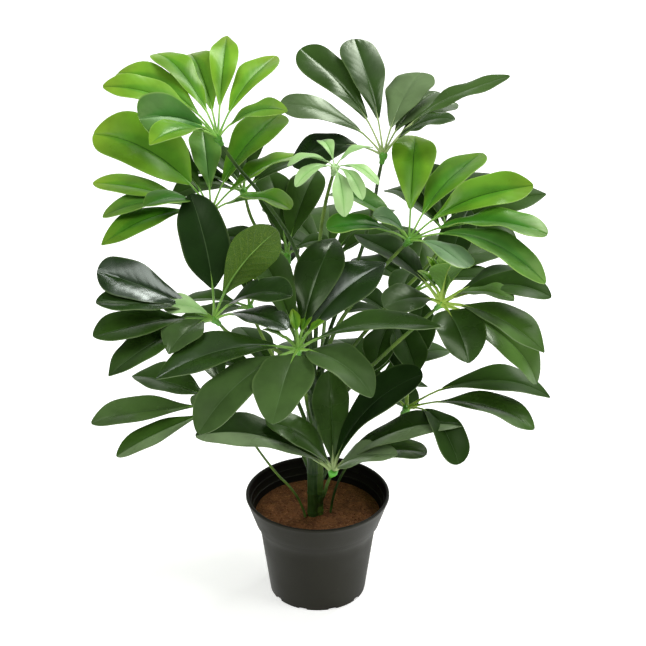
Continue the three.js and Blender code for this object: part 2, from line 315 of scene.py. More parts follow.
# moulded plastic grain: a fine height and a soft blotch, from Object coordinates
def makePlasticGrain():
    number = "NodeSocketFloat"
    group, given, end = newGroup(
        "plasticGrain",
        [("Place", "NodeSocketVector", None), ("fine", number, 900.0), ("broad", number, 22.0)],
        [("Height", number), ("Blotch", number)])
    broad = noise(group, given["Place"], given["broad"], 4.0)
    setSockets(group, end, {
        "Height": noise(group, given["Place"], given["fine"], 2.0),
        "Blotch": fade(group, broad, 0.32, 0.68)})
    return group


leafPattern = makeLeafPattern()
plasticGrain = makePlasticGrain()

# colours of the leaf's top (deep to pale by its tone; by its own share, a dull grey-green that is
# partly the leaf's own colour and partly painted sheen), midrib and edge, and of its underside;
# a tone with a centre share has a darker middle and a paler margin and tip
leafFinish = {
    "dark": {
        "deep": (0.0090, 0.0270, 0.0045, 1), "pale": (0.060, 0.136, 0.018, 1),
        # the dull grey-green is partly the leaf's own colour and partly painted sheen
        "dull": (0.250, 0.350, 0.175, 1), "centreShare": 0.0,
        "rib": (0.115, 0.195, 0.080, 1), "ribShare": 0.5,
        "edge": (0.14, 0.22, 0.07, 1), "veinShare": 0.02,
        "under": (0.085, 0.150, 0.040, 1), "underDeep": (0.040, 0.110, 0.006, 1),
        "underNet": (0.200, 0.290, 0.030, 1), "underRib": (0.18, 0.26, 0.10, 1),
        "roughness": (0.24, 0.38), "shine": 0.40, "shineTint": (0.86, 1.0, 0.72, 1),
    },
    "light": {
        "deep": (0.012, 0.105, 0.009, 1), "pale": (0.135, 0.330, 0.018, 1),
        "dull": (0.120, 0.220, 0.100, 1), "centreShare": 0.7,
        "centre": (0.022, 0.175, 0.009, 1), "margin": (0.20, 0.38, 0.022, 1),
        "tip": (0.30, 0.36, 0.030, 1),
        "rib": (0.008, 0.060, 0.005, 1), "ribShare": 0.85,
        "edge": (0.34, 0.54, 0.10, 1), "veinShare": 0.015,
        "under": (0.16, 0.34, 0.06, 1), "underDeep": (0.06, 0.18, 0.015, 1),
        "underNet": (0.04, 0.12, 0.010, 1), "underRib": (0.25, 0.45, 0.10, 1),
        "roughness": (0.26, 0.40), "shine": 0.25, "shineTint": (0.88, 1.0, 0.62, 1),
    },
    "new": {
        "deep": (0.18, 0.36, 0.10, 1), "pale": (0.32, 0.50, 0.18, 1),
        "dull": (0.30, 0.50, 0.22, 1), "centreShare": 0.5,
        "centre": (0.24, 0.52, 0.15, 1), "margin": (0.48, 0.72, 0.34, 1),
        "tip": (0.50, 0.68, 0.36, 1),
        "rib": (0.16, 0.40, 0.10, 1), "ribShare": 0.6,
        "edge": (0.50, 0.72, 0.36, 1), "veinShare": 0.03,
        "under": (0.34, 0.56, 0.22, 1), "underDeep": (0.24, 0.44, 0.15, 1),
        "underNet": (0.18, 0.36, 0.10, 1), "underRib": (0.46, 0.68, 0.32, 1),
        "roughness": (0.38, 0.5), "shine": 0.2, "shineTint": (0.95, 1.0, 0.85, 1),
    },
}
# leaflets that hang in the shade of the others are duller
leafFinish["shaded"] = {**leafFinish["dark"], "shine": 0.10, "roughness": (0.36, 0.50)}
# and a few of the dark ones carry a stronger sheen
leafFinish["glossy"] = {
    **leafFinish["dark"], "shine": 0.85, "roughness": (0.22, 0.32),
    "shineTint": (0.92, 1.0, 0.94, 1)}

# what all the leaves share
leafSurface = {
    "topCloud": (38.0, 0.82, 1.2),      # scale, darkest and lightest share of the colour
    "underCloud": (45.0, 0.85, 1.15),
    "edgeCloud": 120.0,
    "marginByTone": 0.5, "centreMix": 0.5, "tipShare": 0.7, "edgeShare": 0.35,
    "topRelief": (0.15, 0.0003),        # strength and distance of the bump
    "underNetShare": 0.5, "underVeinShare": 0.2, "netHeight": 0.12,
    "underRelief": (0.4, 0.0006), "underRoughness": 0.5, "underShine": 0.2,
}


def cloudy(tree, colour, scale, darkest, lightest):
    cloud = fade(tree, noise(tree, objectPlace(tree), scale, 4.0), 0.3, 0.7, darkest, lightest)
    return blend(tree, 1.0, colour, greyFrom(tree, cloud), "MULTIPLY")


def makeLeafTop(tone):
    finish, surface = leafFinish[tone], leafSurface
    material, tree, shader = newMaterial("leafTop_" + tone)
    pattern = useGroup(tree, leafPattern, Place=uvPlace(tree))
    grain = useGroup(tree, plasticGrain, Place=objectPlace(tree))

    def over(colour, mask, share, cover):
        return blend(tree, calc(tree, "MULTIPLY", mask, share), colour, cover)

    colour = blend(tree, attributeValue(tree, "tone"), finish["deep"], finish["pale"])
    if finish["centreShare"]:
        outer = calc(
            tree, "MULTIPLY", attributeValue(tree, "tone"), surface["marginByTone"], True)
        sides = blend(tree, outer, colour, finish["margin"])
        middle = blend(tree, surface["centreMix"], colour, finish["centre"])
        colour = over(sides, pattern["Wedge"], finish["centreShare"], middle)
        ripe = calc(tree, "MULTIPLY", outer, surface["tipShare"])
        colour = over(colour, pattern["Tip"], ripe, finish["tip"])
    # blends towards the dull grey-green, partly own colour and partly painted sheen
    colour = blend(tree, attributeValue(tree, "dull"), colour, finish["dull"])
    colour = cloudy(tree, colour, *surface["topCloud"])
    colour = over(colour, pattern["Veins"], finish["veinShare"], finish["pale"])
    colour = over(colour, pattern["Rib"], finish["ribShare"], finish["rib"])
    colour = over(colour, pattern["Margin"], surface["edgeShare"], finish["edge"])
    setSockets(tree, shader, {
        "Base Color": colour,
        "Roughness": fade(tree, grain["Blotch"], 0.0, 1.0, *finish["roughness"]),
        "Normal": bump(tree, pattern["Height"], *surface["topRelief"]),
        "Specular IOR Level": finish["shine"],
        "Specular Tint": finish["shineTint"]})
    return material


def makeLeafUnder(tone):
    finish, surface = leafFinish[tone], leafSurface
    material, tree, shader = newMaterial("leafUnder_" + tone)
    pattern = useGroup(tree, leafPattern, Place=uvPlace(tree))
    colour = blend(tree, attributeValue(tree, "tone"), finish["underDeep"], finish["under"])
    colour = cloudy(tree, colour, *surface["underCloud"])
    netShare = calc(tree, "MULTIPLY", pattern["Net"], surface["underNetShare"])
    colour = blend(tree, netShare, colour, finish["underNet"])
    veinShare = calc(tree, "MULTIPLY", pattern["Veins"], surface["underVeinShare"])
    colour = blend(tree, veinShare, colour, finish["underRib"])
    colour = blend(tree, pattern["Rib"], colour, finish["underRib"])
    turned = calc(tree, "MULTIPLY", pattern["Height"], -1.0)
    net = calc(tree, "MULTIPLY", pattern["Net"], surface["netHeight"])
    setSockets(tree, shader, {
        "Base Color": colour,
        "Normal": bump(tree, calc(tree, "ADD", turned, net), *surface["underRelief"]),
        "Roughness": surface["underRoughness"],
        "Specular IOR Level": surface["underShine"]})
    return material


def makeLeafEdge(tone):
    finish = leafFinish[tone]
    material, tree, shader = newMaterial("leafEdge_" + tone)
    cloud = fade(tree, noise(tree, objectPlace(tree), leafSurface["edgeCloud"]), 0.3, 0.7)
    setSockets(tree, shader, {
        "Base Color": blend(tree, cloud, finish["under"], finish["edge"]),
        "Roughness": leafSurface["underRoughness"]})
    return material


leafMaterials = {
    tone: (makeLeafTop(tone), makeLeafUnder(tone), makeLeafEdge(tone)) for tone in leafFinish}

# the two colours that each kind of stalk or hub varies between
stalkFinish = {
    "dark": ((0.13, 0.30, 0.035, 1), (0.24, 0.46, 0.07, 1)),
    "light": ((0.16, 0.40, 0.04, 1), (0.30, 0.55, 0.10, 1)),
    "new": ((0.30, 0.52, 0.18, 1), (0.45, 0.66, 0.30, 1)),
    "pale": ((0.24, 0.36, 0.10, 1), (0.42, 0.52, 0.22, 1)),
    "lime": ((0.27, 0.45, 0.045, 1), (0.42, 0.60, 0.09, 1)),
    "hub": ((0.070, 0.270, 0.014, 1), (0.130, 0.400, 0.030, 1)),
    "palm": ((0.060, 0.370, 0.018, 1), (0.130, 0.520, 0.045, 1)),
}
stalkSurface = {"blotches": 60.0, "relief": (0.2, 0.0003), "roughness": 0.42}


def makeStalk(tone):
    material, tree, shader = newMaterial("leafStalk_" + tone)
    grain = useGroup(
        tree, plasticGrain, Place=objectPlace(tree), broad=stalkSurface["blotches"])
    setSockets(tree, shader, {
        "Base Color": blend(tree, grain["Blotch"], *stalkFinish[tone]),
        "Normal": bump(tree, grain["Height"], *stalkSurface["relief"]),
        "Roughness": stalkSurface["roughness"]})
    return material


stalkMaterials = {tone: makeStalk(tone) for tone in stalkFinish}
print("leaf finishes ready")

# every leaf head: its hub and the point that its branch comes from, in millimetres, then
# - leaflets: azimuth, rise, length, width, and where they matter twist, arch and turn share;
#   angles in degrees, azimuth anticlockwise from +X; a plain leaflet's turn share is drawn
# - shades, in the leaflets' order: a tone from 0 deep to 1 pale, or (tone, dull share, outline),
#   the dull grey-green being partly own colour and partly painted sheen, and 1 or -1 where only
#   the leaflet's left or right half gets it, as a painted sheen on that half
# - finish for all its leaflets, or finishes by the leaflet's number, other than the head's tone
# - young: the small leaflets over the hub, in the manner of youngForm
# - thickness and colour of its stalks and hub, and foldShare for flatter blades
heads = [
    {"name": "head_upper_left", "hub": (-78, -10, 425), "root": (-68, -5, 406), "tone": "light",
     "leaflets": [
         (186, 28, 99, 28, -20), (157, 27, 99, 34), (131, 34, 96, 29), (107, 27, 100, 32),
         (86, 31, 108, 23), (60, 24, 98, 28), (335, 30, 70, 18, 25), (233, 14, 80, 30),
         (213, 23, 74, 38, -55)],
     "shades": [
         (0.8, 0, "round"), (0.7, 0, "blunt"), (0.65, 0, "blunt"), (0.85, 0, "round"),
         (0.95, 0, "pointed"), (0.95, 0, "round"), (0.65, 0.15, "round"), (0.55, 0, "pointed"),
         (0.15, 0.12, "blunt")]},
    {"name": "head_left", "hub": (-86, 5, 356), "root": (-78, 3, 334), "tone": "light",
     "leaflets": [
         (171, 35, 115, 51, -32), (180, 15, 98, 35, 0, 0.06), (224, 20, 74, 32), (198, 6, 90, 28),
         (212, -4, 98, 32), (53, 32, 108, 39), (36, 17, 96, 30), (330, 16, 78, 32),
         (134, 30, 86, 32), (98, 40, 80, 26)],
     "finishes": {8: "dark"},
     "shades": [
         (0.75, 0, "full"), (0.95, 0, "round"), (0.2, 0, "pointed"), (0.6, 0.2, "round"),
         (0.45, 0, "pointed"), (0.55, 0, "blunt"), (0.85, 0, "round"), (0.4, 0, "blunt"),
         (0.8, 0, "blunt"), (0.55, 0.3, "round")]},
    {"name": "head_middle_left", "hub": (-82, -55, 289), "root": (-71, -51, 275), "tone": "dark",
     "stalkShare": 0.25, "stalkScale": 1.15, "finishes": {0: "shaded", 2: "glossy", 8: "glossy"},
     "leaflets": [
         (120, 68, 101, 39, -18), (340, 57, 100, 36, -90, 0.07), (188, 28, 102, 37, -34, 0.03, 0),
         (202, 17, 100, 34, 0, 0.07), (205, 2, 100, 38, -12, 0.07), (216, -12, 100, 36, -12, 0.08),
         (238, -3, 61, 34), (328, 29, 83, 35, 15), (326, 9, 72, 34)],
     "young": [(195, 23, 46, 25, -15)],
     "youngForm": {
         "tone": "new", "shade": (0.7, 0.0, "blunt"), "stalkShare": 0.15, "stalkScale": 1.0},
     "shades": [
         (0.0, 0, "oval"), (0.1, 0, "round"), (0.0, 0, "blunt"), (0.15, 0, "round"),
         (0.4, 0, "round"), (0.3, 0, "pointed"), (0.3, 0.1, "pointed"), (0.1, 0, "round"),
         (0.1, 0, "round")]},
    {"name": "head_front", "hub": (-15, -85, 277), "root": (-13, -74, 258), "tone": "dark",
     "leaflets": [
         (120, 38, 107, 35), (68, 36, 108, 38), (42, 25, 104, 38, 25), (354, 12, 113, 34),
         (315, -5, 84, 40), (258, -16, 84, 46), (222, -20, 108, 40, -10), (198, -4, 114, 38, -20)],
     "young": [(110, 66, 32, 9), (60, 50, 32, 9), (30, 40, 34, 8), (165, 28, 32, 8)],
     "finishes": {0: "shaded", 2: "glossy", 4: "shaded", 5: "shaded", 6: "shaded", 7: "glossy"},
     "shades": [
         (0.55, 0, "pointed"), (0.2, 0, "pointed"), (0.1, 0, "pointed"), (0.25, 0, "pointed"),
         (0.4, 0.08, "broad"), (0.5, 0.09, "broad"), (0.38, 0.08, "round"),
         (0.25, 0, "pointed")]},
    {"name": "head_right", "hub": (100, -35, 293), "root": (88, -33, 280), "tone": "dark",
     "stalkShare": 0.2, "stalkScale": 1.55, "stalkTone": "lime",
     "leaflets": [
         (345, 14, 92, 30, 8), (325, 19, 70, 31), (324, -9, 97, 42), (341, -34, 103, 37, 26),
         (288, -19, 67, 42), (215, 13, 60, 32, -22), (136, 17, 100, 34), (284, 60, 58, 28),
         (200, 78, 42, 22), (25, 3, 98, 34), (66, 42, 88, 31)],
     "finishes": {
         0: "shaded", 1: "shaded", 2: "shaded", 6: "shaded", 7: "light", 8: "light",
         9: "shaded", 10: "shaded"},
     "young": [(165, 55, 34, 12), (150, 72, 42, 10), (60, 70, 48, 16), (20, 55, 44, 12)],
     "shades": [
         (0.3, 0, "round"), (0.9, 0, "round"), (0.7, 0, "pointed"),
         (1.15, 0, "broad"), (0.35, 0, "broad"), (0.25, 0.1, "round"), (0.15, 0, "pointed"),
         (0.95, 0, "pointed"), (0.95, 0, "pointed"), (0.2, 0, "pointed"),
         (0.1, 0, "pointed")]},
    {"name": "head_upper_right", "hub": (73, -30, 346), "root": (64, -20, 331), "tone": "light",
     "leaflets": [
         (84, 38, 102, 36), (48, 27, 102, 38), (8, 22, 106, 34, 20), (345, 10, 112, 32),
         (333, -6, 117, 30, 11, 0.18), (310, -2, 66, 28), (190, 13, 68, 30), (154, 24, 77, 32),
         (202, 42, 42, 20, -25)],
     "shades": [
         (0.75, 0, "round"), (0.45, 0, "round"), (0.55, 0, "round"), (0.2, 0, "blunt"),
         (0.3, 0.15, "round"), (0.0, 1.0, "blunt"), (0.15, 0, "blunt"), (0.3, 0.3, "round"),
         (0.1, 0.8, "round")]},
    {"name": "head_behind_right", "hub": (108, 40, 320), "root": (97, 33, 303), "tone": "dark",
     "finish": "shaded",
     "leaflets": [
         (15, 18, 90, 40, 25), (335, 10, 64, 30), (100, 28, 80, 34), (60, 20, 90, 34),
         (130, 15, 80, 32)],
     "shades": [0.45, 0.3, 0.2, 0.3, 0.3]},
    {"name": "head_top", "hub": (53, 10, 403), "root": (50, 9, 388), "tone": "dark",
     "stalkShare": 0.28, "stalkScale": 0.85, "stalkTone": "pale", "foldShare": 0.6,
     "leaflets": [
         (140, 38, 110, 34, -15), (110, 46, 102, 34), (180, 29, 94, 28, -20),
         (184, -6, 72, 38, -25, 0.2), (61, 38, 82, 39), (50, 28, 78, 30), (35, 22, 80, 26),
         (10, 30, 117, 24, 10),
         (342, 35, 70, 26, 8)],
     "shades": [
         (0.4, 0, "blunt"), (0.3, 0, "blunt"), (0.3, 0.2, "blunt"), (-0.05, 0, "round"),
         (0.45, 0.4, "blunt"), (0.4, 0.25, "round"), (0.4, 0.12, "round"), (0.5, 0.05, "round"),
         (0.3, 0, "round")]},
    {"name": "head_new_leaves", "hub": (14, -30, 408), "root": (10, -25, 391), "tone": "new",
     "leaflets": [
         (200, 12, 41, 13, 0, 0.2), (225, -6, 42, 13, 0, 0.2), (280, -29, 49, 16, 0, 0.2),
         (302, -17, 43, 12, 0, 0.2), (326, -7, 41, 13, 0, 0.2), (32, 16, 36, 12, 0, 0.2),
         (110, 20, 35, 12, 0, 0.2)],
     "shades": [0.5, 0.5, 0.6, 0.5, 0.5, 0.5, 0.5]},
    {"name": "head_behind_middle", "hub": (-26, 55, 295), "root": (-20, 46, 274), "tone": "dark",
     "finish": "shaded",
     "leaflets": [
         (105, 38, 90, 34), (66, 38, 90, 33), (95, 10, 72, 28), (340, 28, 44, 24),
         (135, 7, 54, 29), (175, 12, 70, 32)],
     "shades": [0.45, 0.5, 0.5, 0.4, 0.3, 0.3]},
    {"name": "head_behind_left", "hub": (-62, 60, 352), "root": (-56, 54, 332), "tone": "dark",
     "finish": "shaded",
     "leaflets": [
         (128, 24, 60, 28), (200, 5, 62, 30), (35, 10, 70, 30), (85, 20, 80, 32),
         (165, 10, 66, 28)],
     "shades": [0.4, 0.4, 0.4, 0.5, 0.4]},
    {"name": "head_lower_left", "hub": (-76, -5, 184), "root": (-68, -8, 170), "tone": "dark",
     "stalkShare": 0.26, "stalkScale": 1.0,
     "leaflets": [
         (192, 0.5, 116, 32, -20, 0.02), (208, -11, 105, 26, -12, 0.03),
         (168, 15.5, 86, 42, -10, 0.03), (118, 28, 68, 30),
         (236, 20, 46, 26)],
     "shades": [
         (0.75, 0.12, "round"), (0.6, 0.55, "round", 1), (0.45, 0, "pointed"), (0.2, 0, "round"),
         (0.5, 0.2, "round")]},
    {"name": "head_front_low", "hub": (13, -45, 142), "root": (9, -36, 127), "tone": "dark",
     "stalkShare": 0.11, "stalkScale": 1.8, "stalkTone": "pale", "hubTone": "palm",
     "crownScale": 1.2,
     "finishes": {3: "shaded"},
     "leaflets": [
         (186, 21, 122, 38, -15), (180, 42, 74, 32, -25), (93, 62, 85, 31), (354, 53, 120, 40, 30),
         (332, 27, 66, 30, 14), (353, 27, 119, 34, 8, 0.12), (347, 20, 84, 33)],
     "shades": [
         (0.2, 0.95, "round", 1), (0.7, 0, "round"), (0.5, 0, "round"), (0.05, 0, "blunt"),
         (0.5, 0.85, "broad"), (0.2, 0.6, "pointed", -1), (0.45, 0.05, "blunt")]},
    {"name": "head_lower_right", "hub": (75, -15, 186), "root": (66, -13, 172), "tone": "dark",
     "stalkShare": 0.27, "stalkScale": 0.95, "stalkTone": "lime",
     "finishes": {0: "shaded", 1: "shaded", 3: "shaded", 4: "shaded", 5: "shaded"},
     "leaflets": [
         (77, 44, 94, 34), (350, 12.3, 124, 34, 10, 0.15), (338, 4, 113, 34),
         (305, -16, 73, 33, 0, 0.27), (152, 20, 56, 26), (96, 30, 82, 30)],
     "shades": [
         (0.3, 0, "pointed"), (0.3, 0, "pointed"), (0.55, 0, "round"),
         (0.25, 0, "blunt"), (0.4, 0, "round"), (0.2, 0, "round")]},
    {"name": "head_behind_front", "hub": (64, 35, 246), "root": (56, 30, 230), "tone": "dark",
     "finish": "shaded",
     "leaflets": [
         (135, 6, 54, 30), (250, -25, 58, 28), (288, -25, 62, 30), (200, 18, 46, 24),
         (70, 18, 70, 32)],
     "shades": [0.2, 0.35, 0.3, 0.3, 0.3]},
    {"name": "head_back_left", "hub": (-60, 90, 230), "root": (-52, 80, 214), "tone": "dark",
     "finish": "shaded",
     "leaflets": [
         (60, 20, 90, 36), (100, 15, 96, 36), (156, -12, 80, 34), (190, -22, 80, 32),
         (220, 0, 60, 30)],
     "shades": [0.3, 0.45, 0.4, 0.3, 0.4]},
    {"name": "head_back", "hub": (10, 120, 260), "root": (8, 108, 244), "tone": "dark",
     "finish": "shaded",
     "leaflets": [
         (90, 10, 96, 36), (50, 15, 94, 34), (130, 18, 92, 34), (170, 20, 70, 32),
         (10, 20, 76, 32)],
     "shades": [0.5, 0.4, 0.45, 0.3, 0.4]},
    {"name": "head_back_right", "hub": (85, 100, 240), "root": (76, 90, 224), "tone": "dark",
     "finish": "shaded",
     "leaflets": [
         (350, 10, 86, 34), (25, 15, 92, 36), (62, 10, 96, 36), (100, 20, 90, 34),
         (140, 10, 70, 32)],
     "shades": [0.3, 0.4, 0.5, 0.4, 0.3]},
    {"name": "head_low_back_left", "hub": (-35, 72, 160), "root": (-29, 60, 146), "tone": "dark",
     "finish": "shaded",
     "leaflets": [
         (75, 0, 90, 34), (115, 10, 92, 34), (155, 5, 90, 32), (195, 5, 70, 30),
         (35, 15, 60, 30)],
     "shades": [0.45, 0.4, 0.4, 0.3, 0.3]},
    {"name": "head_low_back_right", "hub": (48, 75, 158), "root": (40, 62, 144), "tone": "dark",
     "finish": "shaded",
     "leaflets": [
         (72, 5, 92, 34), (32, 10, 90, 34), (350, 5, 50, 26), (112, 12, 76, 32),
         (310, 5, 60, 28)],
     "shades": [0.45, 0.4, 0.35, 0.4, 0.3]},
]

headByName = {head["name"]: head for head in heads}

# the small upright leaflets that still unfold over a hub
youngForm = {
    "tone": "light", "shade": (0.85, 0.0, "pointed"), "stalkShare": 0.45, "stalkScale": 1.6}

leafForm = {
    "seed": 100,            # of the first head's draws
    "arch": 0.12,           # how far a leaflet bows up, as a share of its length
    "stalkShare": {"light": 0.24, "dark": 0.15, "new": 0.2},   # share of the length
    "stalkScale": {"light": 0.9, "dark": 1.3, "new": 0.6},    # thickness of the stalk
    "fold": 0.43,           # rise of each half from the midrib, against its half width
    "foldRange": (0.7, 1.15),   # and how it varies
    "roll": 0.19,           # how much the halves bend back down towards the margin
    "tipFlat": 0.75,        # how far the fold flattens out at the tip
    "grooveDepth": 0.55,    # mm
    "grooveWidth": 0.055,   # share of the half width
    "grooveTaper": 0.6,     # how much of the groove is gone at the tip
    "wave": (0.4, 1.7),     # mm, lowest and highest wave of the margin
    "waves": (1.3, 2.4),    # fewest and most waves along a blade
    "waveEnd": 1.1,         # above 1, the waves die out before the tip
    "waveShift": 2.1,       # radians, so that the two margins don't wave together
    "smallLength": 60,      # mm, below which a leaflet has only this share of the wave
    "smallWave": 0.4,
    "ripple": (0.015, 0.055),   # uneven outline, as a share of the half width
    "ripples": 13,
    "rippleShift": 1.7,
    "curl": (-0.35, 0.25),  # how the tip bends down or up, as a share of the length
    "curlFrom": 0.6,
    "swell": 0.10,          # mm, cushions between the side veins
    "veins": (7.5, 9.5),    # fewest and most of these cushions
    "bow": 0.045,           # sideways bend of a blade, as a share of its length
    "turn": 12,             # degrees that a blade may twist from its stalk to its tip
    "toneSpread": 0.05,
    "sheenHalfFrom": 0.01,       # share of the half blade at which a half with painted sheen begins
    "thickness": 0.62,      # mm
    "smooth": 50,           # degrees
    # share of the blade's length and of its half width
    "outlines": {
        "round": [(0, 0.09), (0.06, 0.18), (0.14, 0.34), (0.25, 0.57), (0.36, 0.77), (0.47, 0.91),
                  (0.58, 1.0), (0.69, 1.0), (0.79, 0.91), (0.87, 0.75), (0.935, 0.53),
                  (0.98, 0.27), (1.0, 0.08)],
        "oval": [(0, 0.1), (0.05, 0.26), (0.12, 0.5), (0.22, 0.76), (0.33, 0.93), (0.45, 1.0),
                 (0.57, 1.0), (0.69, 0.95), (0.79, 0.85), (0.87, 0.69), (0.935, 0.49),
                 (0.98, 0.26), (1.0, 0.08)],
        "full": [(0, 0.1), (0.05, 0.27), (0.12, 0.52), (0.22, 0.77), (0.33, 0.92), (0.45, 0.99),
                 (0.57, 1.0), (0.69, 1.0), (0.79, 0.95), (0.87, 0.84), (0.935, 0.66),
                 (0.98, 0.38), (1.0, 0.13)],
        "blunt": [(0, 0.09), (0.06, 0.17), (0.14, 0.31), (0.25, 0.51), (0.37, 0.70), (0.49, 0.86),
                  (0.61, 0.97), (0.73, 1.02), (0.83, 0.98), (0.91, 0.84), (0.96, 0.62),
                  (0.99, 0.36), (1.0, 0.14)],
        "pointed": [(0, 0.09), (0.06, 0.19), (0.14, 0.37), (0.25, 0.63), (0.36, 0.84), (0.47, 0.97),
                    (0.57, 1.02), (0.67, 0.97), (0.77, 0.82), (0.86, 0.58), (0.93, 0.34),
                    (0.975, 0.15), (1.0, 0.03)],
        "broad": [(0, 0.12), (0.04, 0.32), (0.1, 0.6), (0.18, 0.82), (0.28, 0.96), (0.4, 1.02),
                  (0.54, 1.0), (0.67, 0.9), (0.79, 0.74), (0.88, 0.55), (0.945, 0.35),
                  (0.985, 0.17), (1.0, 0.05)],
    },
    "columns": [0.13, 0.38, 0.70, 1.0],   # from the midrib to the margin
}


# what a row of points, each a place and its value, gives at any place between them
def valueAt(points, place):
    for (low, lowValue), (high, highValue) in zip(points, points[1:]):
        if place <= high:
            return lowValue + (highValue - lowValue) * (place - low) / (high - low)
    return points[-1][1]


# the flat blank of a blade, drawn on row by row: x runs from stalk to tip, y across it
def makeBladeBlank(shape):
    outline = leafForm["outlines"][shape]
    columns = leafForm["columns"]
    blank = added(
        bpy.ops.mesh.primitive_grid_add, x_subdivisions=1, y_subdivisions=2 * len(columns), size=2)
    editMode()
    bpy.ops.mesh.select_mode(type="VERT")
    bpy.ops.mesh.select_all(action="DESELECT")
    objectMode()
    ladder = [-y for y in reversed(columns)] + [0.0] + columns
    for vertex in blank.data.vertices:
        step = round((vertex.co.y + 1) * len(columns))
        atFront = vertex.co.x > 0
        vertex.co.x, part = outline[1] if atFront else outline[0]
        vertex.co.y = ladder[step] * part
        vertex.select = atFront
    pick(blank)
    editMode()
    for (low, lowPart), (high, highPart) in zip(outline[1:], outline[2:]):
        drawOn((high - low, 0, 0), (1, highPart / lowPart, 1))
    objectMode()
    markBladeMap(blank, outline)
    addModifier(blank, "smooth", "SUBSURF", levels=1, render_levels=1)
    applyModifiers(blank)
    blank.name = "bladeBlank_" + shape
    return blank


def markBladeMap(blank, outline):
    for layer in list(blank.data.uv_layers):
        blank.data.uv_layers.remove(layer)
    layer = blank.data.uv_layers.new(name="blade")
    for loop in blank.data.loops:
        x, y, _ = blank.data.vertices[loop.vertex_index].co
        layer.data[loop.index].uv = (x, 0.5 + 0.5 * y / valueAt(outline, x))


# the stalk, drawn out ring by ring: x runs from 0 to 1 along the stalk and on to 2 along the
# blade's midrib, and the radius is in mm
stalkForm = {
    "sides": 8,
    "rings": [(0.06, 1.45), (0.2, 1.25), (0.4, 1.0), (0.65, 0.85), (0.9, 0.9), (1.04, 1.0),
              (1.12, 0.85), (1.25, 0.65), (1.42, 0.5), (1.6, 0.38), (1.78, 0.26), (1.92, 0.14)],
    "join": (0.9, 0.3),     # where the stalk starts to sink under the blade, and over what length
    "sink": (0.75, 0.8),    # mm, and share of its own radius
}


def makeStalkBlank():
    rings = stalkForm["rings"]
    blank = added(
        bpy.ops.mesh.primitive_circle_add, vertices=stalkForm["sides"], radius=rings[0][1],
        fill_type="NGON", location=(rings[0][0], 0, 0), rotation=(0, math.radians(90), 0))
    applyPlace(blank)
    editAll()
    for (low, lowRadius), (high, highRadius) in zip(rings, rings[1:]):
        thin = highRadius / lowRadius
        drawOn((high - low, 0, 0), (1, thin, thin))
    objectMode()
    normalsOut(blank)
    blank.name = "stalkBlank"
    return blank


# the hub: a squat knob over a collar, which points along its branch
hubForm = {"radius": 3.5, "height": 2.9, "collar": 7.0, "collarRadius": 2.15, "sides": 12,
           "crownShare": 0.4}   # the part of the collar that widens with the knob


def makeHubBlank():
    radius, height = hubForm["radius"], hubForm["height"]
    collar, collarRadius = hubForm["collar"], hubForm["collarRadius"]
    profile = [
        (collarRadius - 0.3, -collar), (collarRadius, -collar + 0.4),
        (collarRadius + 0.1, -0.62 * collar), (collarRadius + 0.5, -0.4 * collar),
        (radius - 0.2, -0.25 * collar), (radius, -0.4), (radius - 0.1, 0.5 * height),
        (0.78 * radius, 0.85 * height), (0.52 * radius, height), (0.34 * radius, 0.97 * height),
        (0.26 * radius, 0.6 * height), (0.1, 0.55 * height)]
    blank = ringsUp(profile, hubForm["sides"], "hubBlank")
    normalsOut(blank)
    return blank


# a leaflet's line from hub to tip, with all that it draws by chance
def spineOf(hub, values, stalkShare, stalkScale, draw):
    azimuth, rise, length, width, *rest = values
    twist = rest[0] if rest else 0
    arch = rest[1] if len(rest) > 1 else leafForm["arch"]
    turning = draw.uniform(-1, 1) if len(rest) < 3 else rest[2]
    turn, slope = math.radians(azimuth), math.radians(rise)
    heading = Vector((
        math.cos(turn) * math.cos(slope), math.sin(turn) * math.cos(slope), math.sin(slope)))
    right = Vector((math.sin(turn), -math.cos(turn), 0))
    above = right.cross(heading)
    size = length * mm
    tip = hub + heading * size
    crest = hub.lerp(tip, 0.5) + above * 2 * arch * size
    return {
        "stalkShare": stalkShare, "stalkScale": stalkScale,
        "hub": hub, "crest": crest, "tip": tip, "right": right,
        "half": width * mm / 2, "twist": math.radians(twist),
        "turn": math.radians(turning * leafForm["turn"]),
        "bow": draw.uniform(-1, 1) * leafForm["bow"] * size,
        "fold": leafForm["fold"] * draw.uniform(*leafForm["foldRange"]),
        "wave": draw.uniform(*leafForm["wave"]) * mm,
        "waves": draw.uniform(*leafForm["waves"]),
        "phase": draw.uniform(0, 2 * math.pi),
        "veins": draw.uniform(*leafForm["veins"]),
        "curl": draw.uniform(*leafForm["curl"]) * size,
        "ripple": draw.uniform(*leafForm["ripple"]),
    }


def frameAt(spine, share):
    rest = 1 - share
    place = spine["hub"] * rest ** 2 + spine["crest"] * 2 * share * rest + spine["tip"] * share ** 2
    tangent = ((spine["crest"] - spine["hub"]) * rest + (spine["tip"] - spine["crest"]) * share)
    tangent.normalize()
    side = spine["right"] - tangent * spine["right"].dot(tangent)
    side.normalize()
    side = Quaternion(tangent, spine["twist"] + spine["turn"] * share) @ side
    beyond = max(0.0, share - spine["stalkShare"])
    place = place + side * spine["bow"] * beyond ** 2
    return place, -side, side.cross(tangent)


def tipLift(spine, share):
    return spine["curl"] * max(0.0, share - leafForm["curlFrom"]) ** 2


